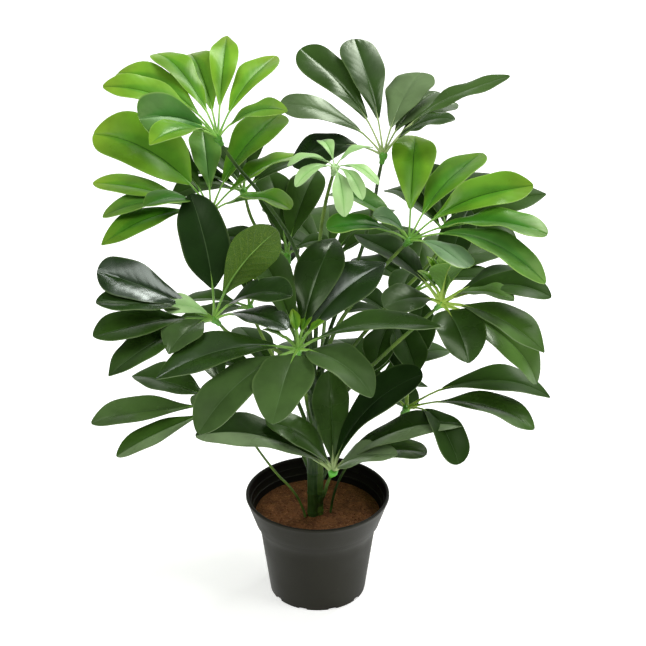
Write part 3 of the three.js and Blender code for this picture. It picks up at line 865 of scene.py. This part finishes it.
def bendBlade(blade, spine, outline):
    mesh = blade.data
    form = leafForm
    offset = spine["stalkShare"]
    frames = {}
    acrossOf = {}
    for loop in mesh.loops:
        acrossOf[loop.vertex_index] = 2 * mesh.uv_layers["blade"].data[loop.index].uv.y - 1
    for vertex in mesh.vertices:
        x, y, _ = vertex.co
        key = round(x, 5)
        if key not in frames:
            frames[key] = frameAt(spine, offset + (1 - offset) * x)
        place, left, normal = frames[key]
        across = acrossOf[vertex.index]
        reach = abs(across)
        waveShift, rippleShift = (
            (form["waveShift"], form["rippleShift"]) if across > 0 else (0, 0))
        width = spine["half"] * valueAt(outline, x)
        flatter = 1 - form["tipFlat"] * x ** 4
        rise = width * (spine["fold"] * reach - form["roll"] * reach ** 2) * flatter
        groove = math.exp(-(reach / form["grooveWidth"]) ** 2) * (1 - form["grooveTaper"] * x)
        wave = math.sin(2 * math.pi * spine["waves"] * x + spine["phase"] + waveShift)
        lean = sideVeins["slant"] * reach ** sideVeins["curve"]
        cushion = math.cos(2 * math.pi * (spine["veins"] * x - lean))
        dying = math.sin(math.pi * min(1, x * form["waveEnd"])) ** 0.5
        rise += spine["wave"] * wave * reach ** 2 * dying
        rise -= form["grooveDepth"] * mm * groove
        rise -= form["swell"] * mm * cushion * math.sin(math.pi * reach)
        lift = tipLift(spine, x)
        ripple = math.sin(form["ripples"] * x + spine["phase"] + rippleShift)
        sideways = y * spine["half"] * (1 + spine["ripple"] * ripple)
        vertex.co = place + left * sideways + normal * (rise + lift)
    return acrossOf


def bendStalk(stalk, spine):
    offset = spine["stalkShare"]
    joinFrom, joinLength = stalkForm["join"]
    sinkLeast, sinkShare = stalkForm["sink"]
    for vertex in stalk.data.vertices:
        x, y, z = vertex.co
        share = x * offset if x < 1 else offset + (1 - offset) * (x - 1)
        place, left, normal = frameAt(spine, share)
        onBlade = max(0.0, min(1.0, (x - joinFrom) / joinLength))
        thick = spine["stalkScale"] + (1 - spine["stalkScale"]) * onBlade
        sink = (sinkLeast + sinkShare * math.hypot(y, z)) * onBlade
        lift = tipLift(spine, x - 1)
        vertex.co = place + left * (y * thick * mm) + normal * ((z * thick - sink) * mm + lift)


def makeLeaflet(hub, values, shade, stalkShare, stalkScale, draw, foldShare=1.0):
    if not isinstance(shade, tuple):
        shade = (shade, 0.0, draw.choice(("round", "pointed")))
    lightness, dull, shape, paintedSheenHalf = (*shade, 0)[:4]
    spine = spineOf(hub, values, stalkShare, stalkScale, draw)
    spine["fold"] *= foldShare
    if values[2] < leafForm["smallLength"]:
        spine["wave"] *= leafForm["smallWave"]
    blade = copyOf(bladeBlanks[shape], "blade")
    acrossOf = bendBlade(blade, spine, leafForm["outlines"][shape])
    spread = leafForm["toneSpread"]
    paintValue(blade, "tone", lightness + draw.uniform(-spread, spread))
    # only one half of the blade gets the grey-green, as a painted sheen on that half
    if paintedSheenHalf:
        reaches = [acrossOf[number] * paintedSheenHalf for number in range(len(acrossOf))]
        dull = [dull if reach > leafForm["sheenHalfFrom"] else 0.0 for reach in reaches]
    paintValue(blade, "dull", dull)
    stalk = copyOf(stalkBlank, "stalk")
    bendStalk(stalk, spine)
    return blade, stalk


def thickBlades(blades, tone):
    whole = joined(blades, "blades")
    giveMaterials(whole, *leafMaterials[tone])
    addModifier(
        whole, "thickness", "SOLIDIFY", thickness=leafForm["thickness"] * mm, offset=-1,
        material_offset=1, material_offset_rim=2)
    applyModifiers(whole)
    return whole


def makeKnob(head, hub):
    axis = (Vector(head["hub"]) - Vector(head["root"])).normalized()
    knob = copyOf(hubBlank, "knob")
    turn = Vector((0, 0, 1)).rotation_difference(axis).to_matrix().to_4x4()
    crown = head.get("crownScale", 1.0)
    for vertex in knob.data.vertices:
        if vertex.co.z > -hubForm["crownShare"] * hubForm["collar"] * mm:
            vertex.co.x *= crown
            vertex.co.y *= crown
            vertex.co.z *= crown if vertex.co.z > 0 else 1
    knob.data.transform(Matrix.Translation(hub) @ turn)
    hubTone = "new" if head["tone"] == "new" else "hub"
    giveMaterials(knob, stalkMaterials[head.get("hubTone", hubTone)])
    return knob


def makeHead(head, number):
    draw = random.Random(leafForm["seed"] + number)
    tone = head["tone"]
    young = {**youngForm, **head.get("youngForm", {})}
    stalkShare = head.get("stalkShare", leafForm["stalkShare"][tone])
    stalkScale = head.get("stalkScale", leafForm["stalkScale"][tone])
    hub = Vector(head["hub"]) * mm
    leaflets = []
    for count, (values, shade) in enumerate(zip(head["leaflets"], head["shades"])):
        finish = head.get("finishes", {}).get(count, head.get("finish", tone))
        leaflets.append((finish, values, shade, stalkShare, stalkScale, head.get("foldShare", 1.0)))
    for values in head.get("young", ()):
        leaflets.append((
            young["tone"], values, young["shade"], young["stalkShare"], young["stalkScale"], 1.0))
    stalks, byFinish = [], {}
    for finish, values, shade, share, scale, fold in leaflets:
        blade, stalk = makeLeaflet(hub, values, shade, share, scale, draw, fold)
        byFinish.setdefault(finish, []).append(blade)
        giveMaterials(stalk, stalkMaterials[head.get("stalkTone", tone)])
        stalks.append(stalk)
    groups = [thickBlades(blades, finish) for finish, blades in byFinish.items()]
    rest = joined([makeKnob(head, hub)] + stalks, "stalks")
    whole = joined(groups + [rest], head["name"].replace("head_", "leaves_"))
    smoothByAngle(whole, leafForm["smooth"])
    finishPiece(whole, "leaf_" + tone, head["name"])
    return whole


bladeBlanks = {shape: makeBladeBlank(shape) for shape in leafForm["outlines"]}
stalkBlank = makeStalkBlank()
hubBlank = makeHubBlank()
print("leaf blanks ready")
leafPieces = [makeHead(head, number) for number, head in enumerate(heads)]
for blank in (*bladeBlanks.values(), stalkBlank, hubBlank):
    bpy.data.objects.remove(blank)
print("leaf heads:", len(leafPieces))

# trunk, branches and side stems; an age is 0 on old dark wood and 1 on young green wood
stemForm = {
    "strands": [                # radius at each point, then the points
        {"radius": (5.4, 5.0, 4.4, 3.4), "ageAndShade": 0.0,
         "path": [(-4, -6, 20), (-4, -6, 120), (-5, -2, 180), (-4, 2, 232)]},
        {"radius": (3.4, 3.2, 3.0, 2.6), "ageAndShade": 0.5,
         "path": [(1.5, -5, 20), (2, -5, 110), (2, -1, 165), (1, 4, 212)]},
    ],
    "branchRadius": (2.0, 1.4),
    "sideRadius": (1.15, 0.95),
    "branchAge": (0.15, 1.0),   # at its foot and at its end
    "collarGap": 6.6,           # from a hub's middle down to the branch's end
    "roundness": 4,             # more makes rounder tubes
    "steps": 14,                # rings from one point of a path to the next
    "voxel": 0.75,              # mm, grain in which trunk and branches are fused
    "softening": (0.5, 4),      # strength and rounds of the smoothing after it
    "sampleStep": 1.5,          # mm between the places that know their age
    "scarStep": 19.0,           # mm between the ring scars of a branch
    "scarFrom": 3.0,            # mm from the foot to the first
    "scarWidth": 0.9,
    "scarHeight": 0.10,         # share of the radius
    "scarLeast": 0.4,           # share of that height at the foot
    "scarFull": 60,             # mm from the foot to where they are at their full height
    "merge": 0.01,              # mm, closer points are made one
    "trunkSmooth": 80,          # degrees
    "sideSmooth": 60,
}

branchPaths = {
    "head_upper_left": [(-4, 0, 215), (-8, 4, 268), (-16, 12, 314), (-44, 12, 366)],
    "head_left": [(-5, 0, 205), (-23, -4, 259), (-55, 0, 305)],
    "head_middle_left": [(-5, -2, 190), (-26, -26, 240), (-48, -41, 262)],
    "head_front": [(-5, -4, 165), (-9, -34, 205), (-11, -62, 238)],
    "head_right": [(1, -1, 165), (26, -14, 204), (53, -25, 240)],
    "head_upper_right": [(2, 2, 205), (16, -8, 258), (42, -12, 300)],
    "head_behind_right": [(0, 3, 190), (30, 2, 236), (66, 14, 276)],
    "head_top": [(0, 4, 208), (12, 26, 244), (34, 58, 288), (47, 38, 352)],
    "head_new_leaves": [(-2, 2, 225), (0, 8, 280), (2, 4, 330), (6, -14, 368)],
    "head_behind_middle": [(-4, 4, 215), (-12, 28, 250)],
    "head_behind_left": [(-5, 3, 222), (-24, 26, 276), (-44, 44, 312)],
    "head_front_low": [(2, -6, 88), (6, -20, 106)],
    "head_behind_front": [(1, 1, 170), (22, 12, 195), (44, 24, 216)],
    "head_back_left": [(-5, 0, 150), (-22, 34, 178), (-42, 66, 200)],
    "head_back": [(-2, 4, 190), (4, 50, 212), (7, 92, 230)],
    "head_back_right": [(2, 2, 160), (30, 40, 186), (62, 76, 210)],
    "head_low_back_left": [(-5, -3, 112), (-14, 24, 122), (-24, 48, 136)],
    "head_low_back_right": [(2, -3, 106), (16, 26, 118), (32, 50, 134)],
}

sidePaths = {
    "stem_side_left": ("head_lower_left", [
        (-10, -11, 20), (-10, -11, 72), (-15, -11, 91), (-23, -12, 106), (-34, -13, 120),
        (-43, -13, 133), (-54, -12, 150)]),
    "stem_side_right": ("head_lower_right", [
        (12, -3, 20), (12, -3, 82), (22, 4, 112), (46, 4, 144)]),
}

# ages at foot and end that differ from a plain branch's; the front low branch and the right
# side stem get lower ages, so darker wood, as painted shade
stemAgesAndShade = {
    "head_upper_left": (0.15, 0.35), "head_top": (0.15, 0.35), "head_front_low": (0.1, 0.4),
    "stem_side_left": (0.4, 0.9), "stem_side_right": (0.05, 0.6),
}


def stemTube(points, radii, name):
    stem = added(bpy.ops.curve.primitive_bezier_curve_add, location=(0, 0, 0))
    objectMode()
    line = stem.data.splines[0]
    line.bezier_points.add(len(points) - len(line.bezier_points))
    last = len(points) - 1
    for count, (knot, place) in enumerate(zip(line.bezier_points, points)):
        share = count / last * (len(radii) - 1)
        low = min(int(share), len(radii) - 2)
        knot.co = Vector(place) * mm
        knot.handle_left_type = knot.handle_right_type = "AUTO"
        knot.radius = radii[low] + (radii[low + 1] - radii[low]) * (share - low)
    stem.data.bevel_depth = mm
    stem.data.bevel_resolution = stemForm["roundness"]
    stem.data.resolution_u = stemForm["steps"]
    stem.data.use_fill_caps = True
    pick(stem)
    bpy.ops.object.convert(target="MESH")
    stem = bpy.context.object
    stem.name = name
    pick(stem)
    editAll()
    bpy.ops.mesh.remove_doubles(threshold=stemForm["merge"] * mm)
    bpy.ops.mesh.normals_make_consistent(inside=False)
    objectMode()
    return stem


def stemPoints(path, head):
    hub, root = Vector(head["hub"]), Vector(head["root"])
    end = hub - (hub - root).normalized() * stemForm["collarGap"]
    return path + [head["root"], tuple(end)]


# points along a stem, each with its distance from the foot and its age
def samplesOf(points, old, young):
    found = []
    gone = 0.0
    total = sum((Vector(b) - Vector(a)).length for a, b in zip(points, points[1:]))
    for start, end in zip(points, points[1:]):
        start, end = Vector(start), Vector(end)
        pieces = max(1, round((end - start).length / stemForm["sampleStep"]))
        for piece in range(pieces):
            place = start.lerp(end, piece / pieces)
            far = gone + (end - start).length * piece / pieces
            found.append((place * mm, far, old + (young - old) * far / total))
        gone += (end - start).length
    return found


# gives each point of a stem its age, which on a few stems is lowered as painted shade,
# and raises the ring scars
def dressStem(stem, samples):
    form = stemForm
    tree = KDTree(len(samples))
    for count, (place, _, _) in enumerate(samples):
        tree.insert(place, count)
    tree.balance()
    ages = []
    for vertex in stem.data.vertices:
        place, count, _ = tree.find(vertex.co)
        far, ageAndShade = samples[count][1:]
        ages.append(ageAndShade)
        ring = math.exp(-((far % form["scarStep"] - form["scarFrom"]) / form["scarWidth"]) ** 2)
        grown = form["scarLeast"] + (1 - form["scarLeast"]) * min(1.0, far / form["scarFull"])
        vertex.co += (vertex.co - place) * (form["scarHeight"] * ring * grown)
    paintValue(stem, "ageAndShade", ages)


barkFinish = {
    "old": ((0.014, 0.046, 0.005, 1), (0.036, 0.088, 0.010, 1)),
    "young": ((0.080, 0.165, 0.018, 1), (0.160, 0.270, 0.036, 1)),
    "ageFade": (0.15, 0.85),
    "fibre": (0.11, 0.15, 0.06, 1), "fibreShare": 0.35, "fibreScale": (700, 700, 70),
    "fibreFade": (0.45, 0.75),
    "blotches": 70.0, "relief": (0.35, 0.0005), "roughness": (0.42, 0.6), "shine": 0.25,
}


def makeStemBark():
    finish = barkFinish
    material, tree, shader = newMaterial("stemBark")
    place = objectPlace(tree)
    grain = useGroup(tree, plasticGrain, Place=place, broad=finish["blotches"])
    old = blend(tree, grain["Blotch"], *finish["old"])
    young = blend(tree, grain["Blotch"], *finish["young"])
    # old to young wood by age, which on a few stems is lowered as painted shade
    colour = blend(tree, fade(tree, attributeValue(tree, "ageAndShade"), *finish["ageFade"]), old, young)
    fibres = noise(tree, stretched(tree, place, finish["fibreScale"]), 1.0)
    fibreShare = fade(tree, fibres, *finish["fibreFade"], 0.0, finish["fibreShare"])
    setSockets(tree, shader, {
        "Base Color": blend(tree, fibreShare, colour, finish["fibre"]),
        "Normal": bump(tree, fibres, *finish["relief"]),
        "Roughness": fade(tree, grain["Blotch"], 0.0, 1.0, *finish["roughness"]),
        "Specular IOR Level": finish["shine"]})
    return material


stemBark = makeStemBark()


def makeTrunk():
    tubes, samples = [], []
    for strand in stemForm["strands"]:
        tubes.append(stemTube(strand["path"], strand["radius"], "strand"))
        samples += samplesOf(strand["path"], strand["ageAndShade"], strand["ageAndShade"])
    for name, path in branchPaths.items():
        points = stemPoints(path, headByName[name])
        tubes.append(stemTube(points, stemForm["branchRadius"], "branch"))
        samples += samplesOf(points, *stemAgesAndShade.get(name, stemForm["branchAge"]))
    trunk = joined(tubes, "trunkAndBranches")
    addModifier(trunk, "fuse", "REMESH", mode="VOXEL", voxel_size=stemForm["voxel"] * mm)
    strength, rounds = stemForm["softening"]
    addModifier(trunk, "soften", "SMOOTH", factor=strength, iterations=rounds)
    applyModifiers(trunk)
    dressStem(trunk, samples)
    giveMaterials(trunk, stemBark)
    smoothByAngle(trunk, stemForm["trunkSmooth"])
    finishPiece(trunk, "stem", "trunk")
    return trunk


def makeSideStem(name):
    headName, path = sidePaths[name]
    points = stemPoints(path, headByName[headName])
    stem = stemTube(points, stemForm["sideRadius"], name.replace("stem_side_", "sideStem_"))
    dressStem(stem, samplesOf(points, *stemAgesAndShade[name]))
    giveMaterials(stem, stemBark)
    smoothByAngle(stem, stemForm["sideSmooth"])
    finishPiece(stem, "stem", name)


trunk = makeTrunk()
for name in sidePaths:
    makeSideStem(name)
print("stems ready, trunk faces:", len(trunk.data.polygons))

potForm = {
    "sides": 112,
    "outside": [(42, 0), (49.4, 55), (50.3, 60), (51.2, 63.2), (52.4, 66.2), (53.9, 69.4),
                (55.4, 72.8), (56.7, 76.4), (60.6, 88), (61.4, 90.4), (62.1, 92.2), (62.5, 93.0),
                (62.5, 94.3)],
    "mouth": [(62.1, 94.8), (61.4, 95.0), (60.4, 94.9), (59.6, 94.2), (59.3, 93.0), (58.8, 87.4),
              (58.5, 87.0), (57.8, 86.8), (57.6, 86.3), (57.2, 80.4), (56.9, 80.0), (56.3, 79.8),
              (56.1, 79.2), (54.2, 69)],
    "inside": [(48.2, 60), (40.2, 2.2)],
    "footCuts": 10,
    "footCut": (7.0, 2.6, 2.8),     # mm: wide, deep, high
    "footCutSides": 24,
    "drainHoles": 5,
    "drainRadius": 4.0,
    "drainSides": 28,
    "drainCircle": 24.0,            # radius of the ring of holes
    "drainDepth": 20,
    "bevel": (0.35, 2, 50),         # mm, steps, and degrees from which an edge is softened
    "smooth": 35,
    "innerFrom": 1.5,               # height between the floor's underside and its top
    # height, and the radius inside which the wall faces inwards there
    "innerReach": [(0, 41.2), (59, 49.2), (60, 50.0), (100, 63.2)],
}

potFinish = {
    "colours": ((0.0090, 0.0088, 0.0058, 1), (0.0130, 0.0126, 0.0086, 1)),
    # the inside of the pot is painted darker than the outside, as painted shade
    "innerShade": ((0.004, 0.0035, 0.003, 1), (0.007, 0.006, 0.005, 1)),
    "dust": (0.12, 0.10, 0.08, 1), "dustShare": 0.12, "dustFade": (0.62, 0.8),
    "dustNoise": (160.0, 6.0, 0.7),     # scale, detail and roughness
    "scuffScale": (60, 60, 900), "scuffDetail": 2.0, "scuffs": 0.6,
    "fine": 1400.0, "broad": 18.0, "relief": (0.12, 0.0004), "roughness": (0.44, 0.56),
    "shine": 0.2, "shineTint": (1.0, 0.98, 0.84, 1),
}


def makePotPlastic():
    finish = potFinish
    material, tree, shader = newMaterial("potPlastic")
    place = objectPlace(tree)
    grain = useGroup(tree, plasticGrain, Place=place, fine=finish["fine"], broad=finish["broad"])
    dust = noise(tree, place, *finish["dustNoise"])
    dust = fade(tree, dust, *finish["dustFade"], 0.0, finish["dustShare"])
    outer = blend(tree, dust, blend(tree, grain["Blotch"], *finish["colours"]), finish["dust"])
    # painted shade for the inside of the pot
    innerShade = blend(tree, grain["Blotch"], *finish["innerShade"])
    scuffs = noise(
        tree, stretched(tree, place, finish["scuffScale"]), 1.0, finish["scuffDetail"])
    height = calc(
        tree, "ADD", grain["Height"], calc(tree, "MULTIPLY", scuffs, finish["scuffs"]))
    setSockets(tree, shader, {
        "Base Color": blend(tree, attributeValue(tree, "innerShade"), outer, innerShade),
        "Roughness": fade(tree, grain["Blotch"], 0.0, 1.0, *finish["roughness"]),
        "Normal": bump(tree, height, *finish["relief"]),
        "Specular IOR Level": finish["shine"],
        "Specular Tint": finish["shineTint"]})
    return material


def footCutters():
    wide, deep, high = (size * mm for size in potForm["footCut"])
    footRadius = potForm["outside"][0][0] * mm
    for count in range(potForm["footCuts"]):
        cutter = added(
            bpy.ops.mesh.primitive_cylinder_add, vertices=potForm["footCutSides"], radius=0.5,
            depth=1, rotation=(0, math.radians(90), 0))
        applyPlace(cutter)
        cutter.scale = (2 * deep, wide, 2 * high)
        cutter.location = (footRadius + deep / 2, 0, 0)
        applyPlace(cutter)
        cutter.rotation_euler = (0, 0, 2 * math.pi * count / potForm["footCuts"])
        applyPlace(cutter)
        yield cutter


def drainCutters():
    reach = potForm["drainCircle"] * mm
    for count in range(potForm["drainHoles"]):
        turn = 2 * math.pi * (count + 0.5) / potForm["drainHoles"]
        cutter = added(
            bpy.ops.mesh.primitive_cylinder_add, vertices=potForm["drainSides"],
            radius=potForm["drainRadius"] * mm, depth=potForm["drainDepth"] * mm,
            location=(reach * math.cos(turn), reach * math.sin(turn), 0))
        applyPlace(cutter)
        yield cutter


def makePot():
    pot = ringsUp(
        potForm["outside"] + potForm["mouth"] + potForm["inside"], potForm["sides"], "nurseryPot")
    normalsOut(pot)
    cutters = [*footCutters(), *drainCutters()]
    for cutter in cutters:
        addModifier(
            pot, "cut", "BOOLEAN", operation="DIFFERENCE", solver="EXACT", object=cutter)
    applyModifiers(pot)
    for cutter in cutters:
        bpy.data.objects.remove(cutter)
    width, steps, degrees = potForm["bevel"]
    addModifier(
        pot, "softEdges", "BEVEL", width=width * mm, segments=steps, limit_method="ANGLE",
        angle_limit=math.radians(degrees))
    applyModifiers(pot)
    # marks the inside of the pot, where the painted shade goes
    innerShade = []
    for vertex in pot.data.vertices:
        reach, height = vertex.co.xy.length / mm, vertex.co.z / mm
        isInner = height > potForm["innerFrom"] and reach < valueAt(potForm["innerReach"], height)
        innerShade.append(1.0 if isInner else 0.0)
    paintValue(pot, "innerShade", innerShade)
    giveMaterials(pot, makePotPlastic())
    smoothByAngle(pot, potForm["smooth"])
    finishPiece(pot, "pot_plastic", "pot")
    return pot


pot = makePot()
print("pot ready, faces:", len(pot.data.polygons))

soilForm = {
    "sides": 150,
    "side": [(39.9, 2.6), (47.6, 60), (53.7, 69), (54.9, 74.2)],
    "rings": 44,
    "edge": 54.3,
    "top": 75.0,            # height at the edge
    "crown": 1.4,           # how much higher the middle is
    "grain": 0.55,          # mm
    "grainSize": 1.6,
    "grainDetail": 2,
    "grainFrom": 74.5,      # height over which the soil is grainy
    "crumbs": 700,
    "crumbSize": (0.35, 0.95),
    "crumbReach": 53.0,     # radius inside which they lie
    "crumbLift": 0.2,
    "crumbDepth": (0.6, 1),     # of its width
    "crumbHeight": (0.5, 0.9),
    "seed": 41,
    "smooth": 40,
}

soilFinish = {
    "colours": ((0.100, 0.036, 0.011, 1), (0.200, 0.078, 0.026, 1)),
    "pale": (0.42, 0.20, 0.085, 1), "paleFrom": (0.54, 0.66),
    "dark": (0.020, 0.008, 0.004, 1), "darkFrom": (0.46, 0.34), "darkShare": 0.85,
    "fine": (520.0, 6.0, 0.85), "broad": (90.0, 4.0, 0.6),  # scale, detail and roughness
    "broadFade": (0.3, 0.7), "relief": (0.8, 0.0012), "roughness": 0.92, "shine": 0.25,
}


def makeSoilEarth():
    finish = soilFinish
    material, tree, shader = newMaterial("soilEarth")
    place = objectPlace(tree)
    fine = noise(tree, place, *finish["fine"])
    broad = noise(tree, place, *finish["broad"])
    colour = blend(tree, fade(tree, broad, *finish["broadFade"]), *finish["colours"])
    colour = blend(tree, fade(tree, fine, *finish["paleFrom"]), colour, finish["pale"])
    darkShare = fade(tree, fine, *finish["darkFrom"], 0.0, finish["darkShare"])
    setSockets(tree, shader, {
        "Base Color": blend(tree, darkShare, colour, finish["dark"]),
        "Normal": bump(tree, fine, *finish["relief"]),
        "Roughness": finish["roughness"],
        "Specular IOR Level": finish["shine"]})
    return material


# height of the soil at a share of the way from its middle to its edge
def soilHeight(share):
    return soilForm["top"] + soilForm["crown"] * (1 - share ** 2)


def roughenSoil(soil):
    rough = bpy.data.textures.new("soilLumps", "CLOUDS")
    rough.noise_scale = soilForm["grainSize"] * mm
    rough.noise_depth = soilForm["grainDetail"]
    group = soil.vertex_groups.new(name="top")
    for vertex in soil.data.vertices:
        if vertex.co.z > soilForm["grainFrom"] * mm:
            group.add([vertex.index], 1.0, "REPLACE")
    addModifier(
        soil, "lumps", "DISPLACE", texture=rough, texture_coords="LOCAL", direction="Z",
        strength=2 * soilForm["grain"] * mm, vertex_group="top")
    applyModifiers(soil)


def makeCrumbs():
    draw = random.Random(soilForm["seed"])
    blank = added(bpy.ops.mesh.primitive_ico_sphere_add, subdivisions=1, radius=1)
    crumbs = []
    for count in range(soilForm["crumbs"]):
        reach = soilForm["crumbReach"] * math.sqrt(draw.random())
        turn = draw.uniform(0, 2 * math.pi)
        size = draw.uniform(*soilForm["crumbSize"]) * mm
        height = soilHeight(reach / soilForm["edge"]) + soilForm["crumbLift"]
        place = Vector((reach * math.cos(turn), reach * math.sin(turn), height)) * mm
        spin = Quaternion(
            (draw.uniform(-1, 1), draw.uniform(-1, 1), draw.uniform(-1, 1), 1)).normalized()
        stretch = Matrix.Diagonal((
            size, size * draw.uniform(*soilForm["crumbDepth"]),
            size * draw.uniform(*soilForm["crumbHeight"]), 1))
        crumb = copyOf(blank, "crumb")
        crumb.data.transform(Matrix.Translation(place) @ spin.to_matrix().to_4x4() @ stretch)
        crumbs.append(crumb)
    bpy.data.objects.remove(blank)
    return crumbs


def makeSoil():
    profile = list(soilForm["side"])
    for count in range(soilForm["rings"]):
        share = 1 - count / soilForm["rings"]
        profile.append((soilForm["edge"] * share, soilHeight(share)))
    soil = ringsUp(profile, soilForm["sides"], "soil")
    addModifier(soil, "finer", "SUBSURF", subdivision_type="SIMPLE", levels=1, render_levels=1)
    applyModifiers(soil)
    normalsOut(soil)
    roughenSoil(soil)
    soil = joined([soil] + makeCrumbs(), "soilDisc")
    giveMaterials(soil, makeSoilEarth())
    smoothByAngle(soil, soilForm["smooth"])
    finishPiece(soil, "soil", "soil")
    return soil


soil = makeSoil()
print("soil ready, faces:", len(soil.data.polygons))

view = {
    "cameraPlace": (0.0047, -1.3482, 0.9163),
    "cameraTilt": 64.0,     # degrees from looking straight down
    "fieldOfView": 20.3,
    "floorSize": 60.0,
    "floorDrop": 0.0002,    # how far the floor lies under the pot's foot
    "floorColour": (0.94, 0.94, 0.93, 1),
    "floorRoughness": 0.9,
    "floorShine": 0.1,
    "floorGlow": 0.42,
    "skyColour": (1.0, 1.0, 1.0, 1),
    "skyStrength": 0.18,
}

# place, width, height, power and the point that each soft light is turned to
softLights = {
    "key": ((-1.3, -1.3, 2.2), 1.3, 1.3, 38.0, (0.0, 0.0, 0.25)),
    "fill": ((1.7, -0.6, 2.0), 1.2, 1.2, 23.0, (0.0, 0.0, 0.25)),
    "backTop": ((1.15, 1.25, 2.3), 1.0, 1.0, 60.0, (0.0, 0.0, 0.3)),
    "backWall": ((0.5, 2.7, 0.85), 3.4, 1.3, 11.0, (0.0, 0.0, 0.3)),
}


def makeFloor():
    floor = added(
        bpy.ops.mesh.primitive_plane_add, size=view["floorSize"],
        location=(0, 0, -view["floorDrop"]))
    floor.name = "floor"
    material, tree, shader = newMaterial("paleFloor")
    setSockets(tree, shader, {
        "Base Color": view["floorColour"],
        "Roughness": view["floorRoughness"],
        "Specular IOR Level": view["floorShine"],
        "Emission Color": view["floorColour"],
        "Emission Strength": view["floorGlow"]})
    giveMaterials(floor, material)


def makeLights():
    for name, (place, width, height, power, target) in softLights.items():
        light = added(bpy.ops.object.light_add, type="AREA", location=place)
        light.name = name + "Light"
        light.data.shape = "RECTANGLE"
        light.data.size = width
        light.data.size_y = height
        light.data.energy = power
        aim = Vector(target) - Vector(place)
        light.rotation_euler = aim.to_track_quat("-Z", "Y").to_euler()
    world = bpy.data.worlds.new("studio")
    world.use_nodes = True
    sky = world.node_tree.nodes["Background"]
    sky.inputs["Color"].default_value = view["skyColour"]
    sky.inputs["Strength"].default_value = view["skyStrength"]
    bpy.context.scene.world = world


def makeCamera():
    camera = added(
        bpy.ops.object.camera_add, location=view["cameraPlace"],
        rotation=(math.radians(view["cameraTilt"]), 0, 0))
    camera.name = "camera"
    camera.data.sensor_fit = "HORIZONTAL"
    camera.data.angle = math.radians(view["fieldOfView"])
    camera.data.dof.use_dof = False
    bpy.context.scene.camera = camera


makeFloor()
makeLights()
makeCamera()
bpy.context.scene.view_settings.view_transform = "Standard"
print("floor, lights and camera ready")
